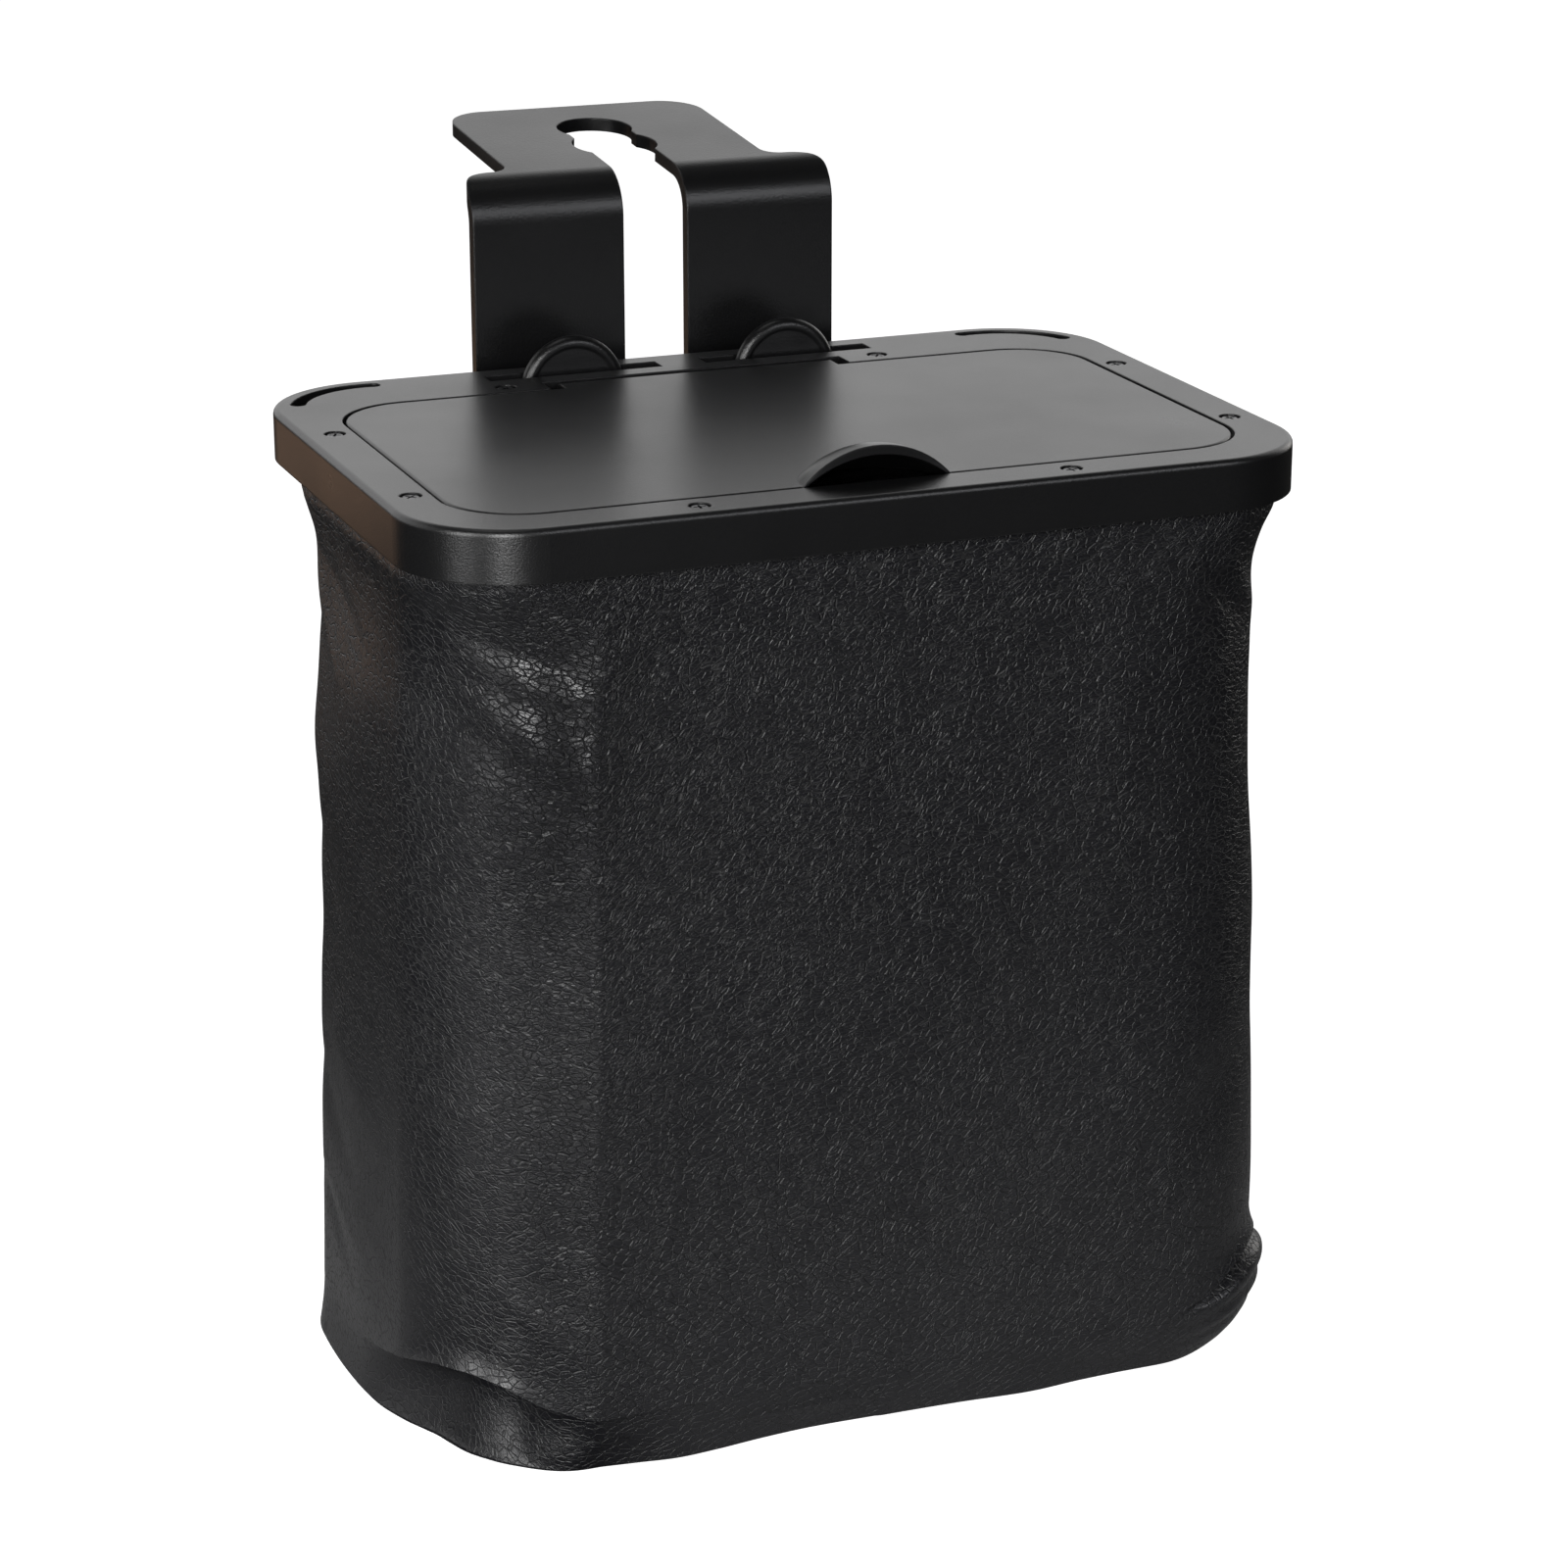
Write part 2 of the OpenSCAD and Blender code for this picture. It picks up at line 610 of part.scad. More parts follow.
// A closed shell of triangles between two stacks of rings, open at the top
function wall(first, rows, flip) =
    let (m = columns)
    [for (j = [0 : rows - 2], i = [0 : m - 1])
        let (p = first + j * m + i, q = first + j * m + (i + 1) % m)
        each flip ? [[p + m, q, p], [p + m, q + m, q]] : [[p, q, p + m], [q, q + m, p + m]]];
function fan(first, mid, flip) =
    let (m = columns)
    [for (i = [0 : m - 1])
        let (p = first + i, q = first + (i + 1) % m)
        flip ? [q, p, mid] : [p, q, mid]];
module shell_between(outer, inner) {
    m = columns;
    a = len(outer);
    b = len(inner);
    base = [0, 0, outer[a - 1][0][2]];
    floor_mid = [0, 0, inner[b - 1][0][2]];
    points = concat([for (r = outer) each r], [for (r = inner) each r], [base, floor_mid]);
    faces = concat(
        wall(0, a, false),
        wall(a * m, b, true),
        [for (i = [0 : m - 1]) each [[(i + 1) % m, i, a * m + i], [(i + 1) % m, a * m + i, a * m + (i + 1) % m]]],
        fan((a - 1) * m, (a + b) * m, false),
        fan((a + b - 1) * m, (a + b) * m + 1, true));
    polyhedron(points, faces, convexity = 6);
}

// Inside of the skin: the wall less its thickness, drawn in at the ends to clear the folds
function inner_ring(d, low, foot) =
    [for (q = outline(d))
        let (i = leather_t + foot + low * min(1, 1.6 * abs(q[2])))
        [q[0] - q[2] * i, q[1] - q[3] * i, top_z - d]];

module outer_bag() {
    inner = concat(
        [for (d = upper) inner_ring(d, 0, 0)],
        [inner_ring(bin_h - 50, 0, 0), inner_ring(bin_h - 38, 0, 0), inner_ring(bin_h - 30, 1.5, 0),
         inner_ring(bin_h - 20, 8, 0), inner_ring(bin_h - 8, 11, 0.3), inner_ring(bin_h - leather_t, 12, 4)]);
    color(leather)
        shell_between(concat(upper_rings, middle_rings, lower_rings), inner);
}

// Inside faces that the boards and the lining are set out from
board_half_w = hem_x - bag_corner;
board_front = hem_front + 1.2 + leather_t + seat;
lining_front = board_front + board_t + seat;
board_rear = hem_rear - leather_t - seat;
lining_rear = board_rear - board_t - seat;
lining_x = hem_x - 2.4 - leather_t - seat;
lining_top = ring_z - seat;
lining_corner = bag_corner - 4;
// The base board and the lining's foot keep inside the folded corners
base_z = leather_t + seat;
base_in = 16;
lining_z = base_z + base_board_t + seat;
foot_rise = 34;

module upright_board(y) {
    translate([-board_half_w, y, lining_z + 2 + foot_rise / 4])
        cube([2 * board_half_w, board_t, lining_top - lining_z - 4 - foot_rise / 4]);
}

module front_board() {
    color("tan")
        upright_board(board_front);
}

module back_board() {
    color("tan")
        upright_board(board_rear - board_t);
}

module base_board() {
    color("tan")
        slab(base_z, base_z + base_board_t)
            plan(-lining_x + base_in, lining_x - base_in, board_front + base_in / 2, board_rear - base_in / 2, lining_corner);
}

// The lining: a tube with a narrower foot that clears the folded corners
module lining_body(t) {
    slab(lining_z + foot_rise, lining_top + (t > 0 ? over : 0))
        plan(-lining_x + t, lining_x - t, lining_front + t, lining_rear - t, lining_corner - t);
    slab(lining_z + t, lining_z + foot_rise + over)
        plan(-lining_x + base_in + t, lining_x - base_in - t,
             lining_front + base_in / 2 + t, lining_rear - base_in / 2 - t, lining_corner - t);
}

module bag_lining() {
    color("gray")
        difference() {
            union() {
                lining_body(0);
                slab(lining_z + foot_rise - lining_t, lining_z + foot_rise + over)
                    plan(-lining_x, lining_x, lining_front, lining_rear, lining_corner);
            }
            lining_body(lining_t);
        }
}

top_frame();
lid();
hinge_pins();
frame_screws();
clamping_ring();
headrest_bracket();
outer_bag();
bag_lining();
front_board();
back_board();
base_board();
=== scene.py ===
import math

import bpy
import numpy as np
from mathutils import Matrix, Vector


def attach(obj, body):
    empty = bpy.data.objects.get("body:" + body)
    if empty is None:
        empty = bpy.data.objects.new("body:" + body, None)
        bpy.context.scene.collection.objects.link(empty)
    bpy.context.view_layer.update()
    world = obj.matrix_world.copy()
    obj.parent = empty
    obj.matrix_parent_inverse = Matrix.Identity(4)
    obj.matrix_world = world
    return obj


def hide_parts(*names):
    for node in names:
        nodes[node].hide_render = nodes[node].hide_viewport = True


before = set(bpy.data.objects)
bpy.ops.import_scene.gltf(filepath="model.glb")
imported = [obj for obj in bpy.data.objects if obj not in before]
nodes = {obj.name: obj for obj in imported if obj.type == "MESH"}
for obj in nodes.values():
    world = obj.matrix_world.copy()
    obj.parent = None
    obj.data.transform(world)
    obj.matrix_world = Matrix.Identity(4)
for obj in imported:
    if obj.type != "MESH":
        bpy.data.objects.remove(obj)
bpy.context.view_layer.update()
mm = 0.001
rimTop = 254.0  # in mm, as the pieces' own sizes are


# Mesh helpers

def addMesh(name, points, faces, material, smooth=True):
    mesh = bpy.data.meshes.new(name)
    mesh.from_pydata([tuple(p) for p in points], [], [tuple(f) for f in faces])
    mesh.validate()
    mesh.update()
    mesh.polygons.foreach_set("use_smooth", [smooth] * len(mesh.polygons))
    mesh.materials.append(material)
    obj = bpy.data.objects.new(name, mesh)
    bpy.context.scene.collection.objects.link(obj)
    return obj


def gridFaces(rows, columns, first=0, flip=False):
    # Faces of a tube whose rows run downwards and whose columns run anticlockwise from above
    j, i = np.meshgrid(np.arange(rows - 1), np.arange(columns), indexing="ij")
    p = first + j * columns + i
    q = first + j * columns + (i + 1) % columns
    quad = np.stack([p, p + columns, q + columns, q], axis=-1).reshape(-1, 4)
    return quad[:, ::-1] if flip else quad


def closedBag(outer, inner, middle, wall):
    # Points and faces of two tubes joined at the top, each closed below by a fan round its middle point
    m, k, n = len(outer), len(inner), outer.shape[1]
    first = m * n
    middles = [middle, middle + np.array([0, 0, wall])]
    points = np.concatenate([outer.reshape(-1, 3), inner.reshape(-1, 3), middles])
    i = np.arange(n)
    j = (i + 1) % n
    lastOuter, lastInner = first - n, first + (k - 1) * n
    base = np.full(n, len(points) - 2)
    faces = [*gridFaces(m, n), *gridFaces(k, n, first, flip=True),
             *np.stack([i, j, first + j, first + i], -1),
             *np.stack([lastOuter + j, lastOuter + i, base], -1),
             *np.stack([lastInner + i, lastInner + j, base + 1], -1)]
    return points, faces


def smoothStep(low, high, value):
    t = np.clip((np.asarray(value, float) - low) / (high - low), 0, 1)
    return t * t * (3 - 2 * t)


def bell(value, middle, width):
    return np.exp(-((np.asarray(value, float) - middle) / width) ** 2)


# Material helpers

def newMaterial(name):
    material = bpy.data.materials.new(name)
    material.use_nodes = True
    tree = material.node_tree
    shader = tree.nodes["Principled BSDF"]
    return material, tree, shader


def newGroup(name, inputs, outputs):
    group = bpy.data.node_groups.new(name, "ShaderNodeTree")
    for label, kind, value in inputs:
        socket = group.interface.new_socket(name=label, in_out="INPUT", socket_type=kind)
        if value is not None:
            socket.default_value = value
    for label, kind in outputs:
        group.interface.new_socket(name=label, in_out="OUTPUT", socket_type=kind)
    return group, group.nodes.new("NodeGroupInput"), group.nodes.new("NodeGroupOutput")


def link(tree, source, target):
    tree.links.new(source, target)


def mathNode(tree, operation, a, b=None, clamp=False):
    node = tree.nodes.new("ShaderNodeMath")
    node.operation = operation
    node.use_clamp = clamp
    for k, value in enumerate((a, b)):
        if value is None:
            continue
        if isinstance(value, (int, float)):
            node.inputs[k].default_value = value
        else:
            link(tree, value, node.inputs[k])
    return node.outputs[0]


def placeGroup(tree, group, values):
    node = tree.nodes.new("ShaderNodeGroup")
    node.node_tree = group
    for label, value in values.items():
        node.inputs[label].default_value = value
    return node


pebbles = {
    # Scales are per metre of hide. An edge is the share of a cell that slopes down to its valley
    "driftScale": 90, "driftReach": 0.0035, "cellStretch": (0.80, 0.80, 1.25), "largeEdge": 0.105,
    "smallFactor": 2.1, "smallEdge": 0.10, "smallShare": 0.25, "rowStretch": (0.40, 0.40, 1.0),
    "wrinkleScale": 360, "wrinkleShare": 0.9, "patchScale": 16, "patchShare": 1.1, "leastPatch": 0.45,
}


def makePebbleGrain(v=pebbles):
    # Pebbled leather: small flattened cells, wrinkles that run along the rows, and slow patches
    group, gin, gout = newGroup(
        "pebbleGrain",
        [("Place", "NodeSocketVector", None), ("Cell Size", "NodeSocketFloat", 1.7),
         ("Strength", "NodeSocketFloat", 1.0)],
        [("Height", "NodeSocketFloat"), ("Valley", "NodeSocketFloat"), ("Patch", "NodeSocketFloat")])
    t = group

    def noise(scale, detail, source):
        node = t.nodes.new("ShaderNodeTexNoise")
        node.inputs["Scale"].default_value = scale
        node.inputs["Detail"].default_value = detail
        link(t, source, node.inputs["Vector"])
        return node

    def stretched(scale, source):
        node = t.nodes.new("ShaderNodeMapping")
        node.inputs["Scale"].default_value = scale
        link(t, source, node.inputs["Vector"])
        return node.outputs[0]

    drift = noise(v["driftScale"], 2, gin.outputs["Place"])
    bent = t.nodes.new("ShaderNodeVectorMath")
    bent.operation = "MULTIPLY_ADD"
    bent.inputs[1].default_value = [v["driftReach"]] * 3
    link(t, drift.outputs["Color"], bent.inputs[0])
    link(t, gin.outputs["Place"], bent.inputs[2])
    flat = stretched(v["cellStretch"], bent.outputs[0])
    scale = mathNode(t, "DIVIDE", 1 / mm, gin.outputs["Cell Size"])

    def cells(factor, reach):
        node = t.nodes.new("ShaderNodeTexVoronoi")
        node.feature = "DISTANCE_TO_EDGE"
        link(t, flat, node.inputs["Vector"])
        link(t, mathNode(t, "MULTIPLY", scale, factor), node.inputs["Scale"])
        crown = t.nodes.new("ShaderNodeMapRange")
        crown.interpolation_type = "SMOOTHSTEP"
        crown.inputs["From Max"].default_value = reach
        link(t, node.outputs["Distance"], crown.inputs["Value"])
        return crown.outputs[0]

    large, small = cells(1.0, v["largeEdge"]), cells(v["smallFactor"], v["smallEdge"])
    wrinkle = noise(v["wrinkleScale"], 3, stretched(v["rowStretch"], bent.outputs[0]))
    patches = noise(v["patchScale"], 3, gin.outputs["Place"])
    uneven = mathNode(t, "MULTIPLY", patches.outputs["Fac"], v["patchShare"])
    uneven = mathNode(t, "ADD", uneven, v["leastPatch"])
    height = mathNode(t, "ADD", large, mathNode(t, "MULTIPLY", small, v["smallShare"]))
    height = mathNode(t, "ADD", height, mathNode(t, "MULTIPLY", wrinkle.outputs["Fac"], v["wrinkleShare"]))
    height = mathNode(t, "MULTIPLY", mathNode(t, "MULTIPLY", height, uneven), gin.outputs["Strength"])
    link(t, height, gout.inputs["Height"])
    link(t, mathNode(t, "SUBTRACT", 1.0, large, clamp=True), gout.inputs["Valley"])
    link(t, patches.outputs["Fac"], gout.inputs["Patch"])
    return group


mould = {"gritDetail": 3, "glossScale": 22, "glossDetail": 4, "glossFrom": 0.3, "glossTo": 0.7}


def makeMouldTexture(v=mould):
    # Fine spark-eroded texture of moulded plastic, with slow variation in its gloss
    group, gin, gout = newGroup(
        "mouldTexture",
        [("Scale", "NodeSocketFloat", 2500.0), ("Rough Low", "NodeSocketFloat", 0.3),
         ("Rough High", "NodeSocketFloat", 0.4)],
        [("Height", "NodeSocketFloat"), ("Roughness", "NodeSocketFloat"), ("Speck", "NodeSocketFloat")])
    t = group
    place = t.nodes.new("ShaderNodeTexCoord")
    grit = t.nodes.new("ShaderNodeTexNoise")
    grit.inputs["Detail"].default_value = v["gritDetail"]
    link(t, place.outputs["Object"], grit.inputs["Vector"])
    link(t, gin.outputs["Scale"], grit.inputs["Scale"])
    slow = t.nodes.new("ShaderNodeTexNoise")
    slow.inputs["Scale"].default_value = v["glossScale"]
    slow.inputs["Detail"].default_value = v["glossDetail"]
    link(t, place.outputs["Object"], slow.inputs["Vector"])
    spread = t.nodes.new("ShaderNodeMapRange")
    spread.inputs["From Min"].default_value = v["glossFrom"]
    spread.inputs["From Max"].default_value = v["glossTo"]
    link(t, slow.outputs["Fac"], spread.inputs["Value"])
    link(t, gin.outputs["Rough Low"], spread.inputs["To Min"])
    link(t, gin.outputs["Rough High"], spread.inputs["To Max"])
    link(t, grit.outputs["Fac"], gout.inputs["Height"])
    link(t, spread.outputs[0], gout.inputs["Roughness"])
    link(t, grit.outputs["Fac"], gout.inputs["Speck"])
    return group


pebbleGrain = makePebbleGrain()
mouldTexture = makeMouldTexture()


def mixColours(tree, factor, low, high):
    node = tree.nodes.new("ShaderNodeMix")
    node.data_type = "RGBA"  # its colours are inputs 6 and 7 and output 2
    link(tree, factor, node.inputs["Factor"])
    node.inputs[6].default_value = (*low, 1)
    node.inputs[7].default_value = (*high, 1)
    return node.outputs[2]


def bumpNode(tree, height, distance, edgeRadius=0.0):
    # Bump, on edges that are softened in the shading where a radius is given
    node = tree.nodes.new("ShaderNodeBump")
    node.inputs["Distance"].default_value = distance
    link(tree, height, node.inputs["Height"])
    if edgeRadius:
        soft = tree.nodes.new("ShaderNodeBevel")
        soft.samples = 4
        soft.inputs["Radius"].default_value = edgeRadius
        link(tree, soft.outputs["Normal"], node.inputs["Normal"])
    return node.outputs["Normal"]


def plasticMaterial(name, values):
    material, tree, shader = newMaterial(name)
    texture = placeGroup(tree, mouldTexture, {
        "Scale": values["textureScale"], "Rough Low": values["roughLow"], "Rough High": values["roughHigh"]})
    colour = mixColours(tree, texture.outputs["Speck"], values["dark"], values["light"])
    link(tree, colour, shader.inputs["Base Color"])
    link(tree, texture.outputs["Roughness"], shader.inputs["Roughness"])
    normal = bumpNode(tree, texture.outputs["Height"], values["bump"], values["edge"])
    link(tree, normal, shader.inputs["Normal"])
    shader.inputs["IOR"].default_value = values["ior"]
    return material


satinPlastic = {"textureScale": 2200.0, "roughLow": 0.27, "roughHigh": 0.32, "dark": (0.0035, 0.0035, 0.0038),
                "light": (0.0065, 0.0065, 0.0068), "bump": 0.00005, "ior": 1.55, "edge": 0.0006}
bracketPlastic = {"textureScale": 1500.0, "roughLow": 0.27, "roughHigh": 0.33,
                  "dark": (0.0022, 0.0022, 0.0024), "light": (0.0042, 0.0042, 0.0045), "bump": 0.00006,
                  "ior": 1.5, "edge": 0.0007}
hiddenPlastic = {"textureScale": 1500.0, "roughLow": 0.45, "roughHigh": 0.55, "dark": (0.012, 0.012, 0.012),
                 "light": (0.018, 0.018, 0.018), "bump": 0.00005, "ior": 1.5, "edge": 0.0}
rimMaterial = plasticMaterial("satinBlackPlastic", satinPlastic)
bracketMaterial = plasticMaterial("texturedBlackPlastic", bracketPlastic)
ringMaterial = plasticMaterial("ringPlastic", hiddenPlastic)

leatherLook = {"cellSize": 2.1, "grainDepth": 0.00028, "valley": (0.0026, 0.0026, 0.0031),
               "crown": (0.0056, 0.0055, 0.0069), "roughLow": 0.28, "roughHigh": 0.36, "valleyRough": 0.25,
               "ior": 1.54}


def makeLeather(values):
    material, tree, shader = newMaterial("blackPebbledLeather")
    place = tree.nodes.new("ShaderNodeAttribute")
    place.attribute_name = "grainPlace"
    strength = tree.nodes.new("ShaderNodeAttribute")
    strength.attribute_name = "grainStrength"
    grain = placeGroup(tree, pebbleGrain, {"Cell Size": values["cellSize"]})
    link(tree, place.outputs["Vector"], grain.inputs["Place"])
    link(tree, strength.outputs["Fac"], grain.inputs["Strength"])
    colour = mixColours(tree, grain.outputs["Valley"], values["crown"], values["valley"])
    link(tree, colour, shader.inputs["Base Color"])
    rough = tree.nodes.new("ShaderNodeMapRange")
    rough.inputs["From Min"].default_value = mould["glossFrom"]
    rough.inputs["From Max"].default_value = mould["glossTo"]
    rough.inputs["To Min"].default_value = values["roughLow"]
    rough.inputs["To Max"].default_value = values["roughHigh"]
    link(tree, grain.outputs["Patch"], rough.inputs["Value"])
    valleyRough = mathNode(tree, "MULTIPLY", grain.outputs["Valley"], values["valleyRough"])
    link(tree, mathNode(tree, "ADD", rough.outputs[0], valleyRough), shader.inputs["Roughness"])
    link(tree, bumpNode(tree, grain.outputs["Height"], values["grainDepth"]), shader.inputs["Normal"])
    shader.inputs["IOR"].default_value = values["ior"]
    return material


leatherMaterial = makeLeather(leatherLook)


liningCloth = {"dark": (0.035, 0.035, 0.038), "light": (0.07, 0.07, 0.075), "threads": 9000, "depth": 0.00012,
               "rough": 0.85}


def makeWeave(v=liningCloth):
    # Plain weave on the piece's own place: two crossed sets of ribs
    material, tree, shader = newMaterial("liningCloth")
    place = tree.nodes.new("ShaderNodeTexCoord")
    split = tree.nodes.new("ShaderNodeSeparateXYZ")
    link(tree, place.outputs["Object"], split.inputs[0])
    along = mathNode(tree, "ADD", split.outputs[0], split.outputs[1])
    warp = mathNode(tree, "SINE", mathNode(tree, "MULTIPLY", along, v["threads"]))
    weft = mathNode(tree, "SINE", mathNode(tree, "MULTIPLY", split.outputs[2], v["threads"]))
    # From the ribs' -1 to 1 to a share from 0 to 1
    share = mathNode(tree, "MULTIPLY_ADD", mathNode(tree, "MULTIPLY", warp, weft), 0.5)
    share.node.inputs[2].default_value = 0.5
    link(tree, mixColours(tree, share, v["dark"], v["light"]), shader.inputs["Base Color"])
    link(tree, bumpNode(tree, share, v["depth"]), shader.inputs["Normal"])
    shader.inputs["Roughness"].default_value = v["rough"]
    return material


liningMaterial = makeWeave()

fibreBoard = {"dark": (0.20, 0.15, 0.10), "light": (0.40, 0.32, 0.23), "fibreScale": 260, "fibreDetail": 8,
              "depth": 0.0001, "rough": 0.8}


def makeBoard(v=fibreBoard):
    material, tree, shader = newMaterial("fibreBoard")
    place = tree.nodes.new("ShaderNodeTexCoord")
    fibres = tree.nodes.new("ShaderNodeTexNoise")
    fibres.inputs["Scale"].default_value = v["fibreScale"]
    fibres.inputs["Detail"].default_value = v["fibreDetail"]
    link(tree, place.outputs["Object"], fibres.inputs["Vector"])
    link(tree, mixColours(tree, fibres.outputs["Fac"], v["dark"], v["light"]), shader.inputs["Base Color"])
    link(tree, bumpNode(tree, fibres.outputs["Fac"], v["depth"]), shader.inputs["Normal"])
    shader.inputs["Roughness"].default_value = v["rough"]
    return material


boardMaterial = makeBoard()


screwSteel = {"light": (0.10, 0.10, 0.105), "speckShade": 0.8, "textureScale": 900.0, "roughLow": 0.22,
              "roughHigh": 0.36}
pinSteel = {"light": (0.55, 0.55, 0.56), "speckShade": 0.8, "textureScale": 900.0, "roughLow": 0.22,
            "roughHigh": 0.34}


def makeMetal(name, values):
    material, tree, shader = newMaterial(name)
    texture = placeGroup(tree, mouldTexture, {
        "Scale": values["textureScale"], "Rough Low": values["roughLow"], "Rough High": values["roughHigh"]})
    dark = tuple(values["speckShade"] * c for c in values["light"])
    link(tree, mixColours(tree, texture.outputs["Speck"], dark, values["light"]), shader.inputs["Base Color"])
    link(tree, texture.outputs["Roughness"], shader.inputs["Roughness"])
    shader.inputs["Metallic"].default_value = 1.0
    return material


screwMaterial = makeMetal("blackenedScrews", screwSteel)
pinMaterial = makeMetal("steelPins", pinSteel)

nodeMaterials = {
    "top_frame": rimMaterial, "lid": rimMaterial, "headrest_bracket": bracketMaterial,
    "clamping_ring": ringMaterial, "hinge_pins": pinMaterial, "frame_screws": screwMaterial,
    "front_board": boardMaterial, "back_board": boardMaterial, "base_board": boardMaterial,
}
for node, material in nodeMaterials.items():
    nodes[node].data.materials.clear()
    nodes[node].data.materials.append(material)
print("materials made")


# The leather bag: a lofted skin with its neck, its creases and its folded lower corners

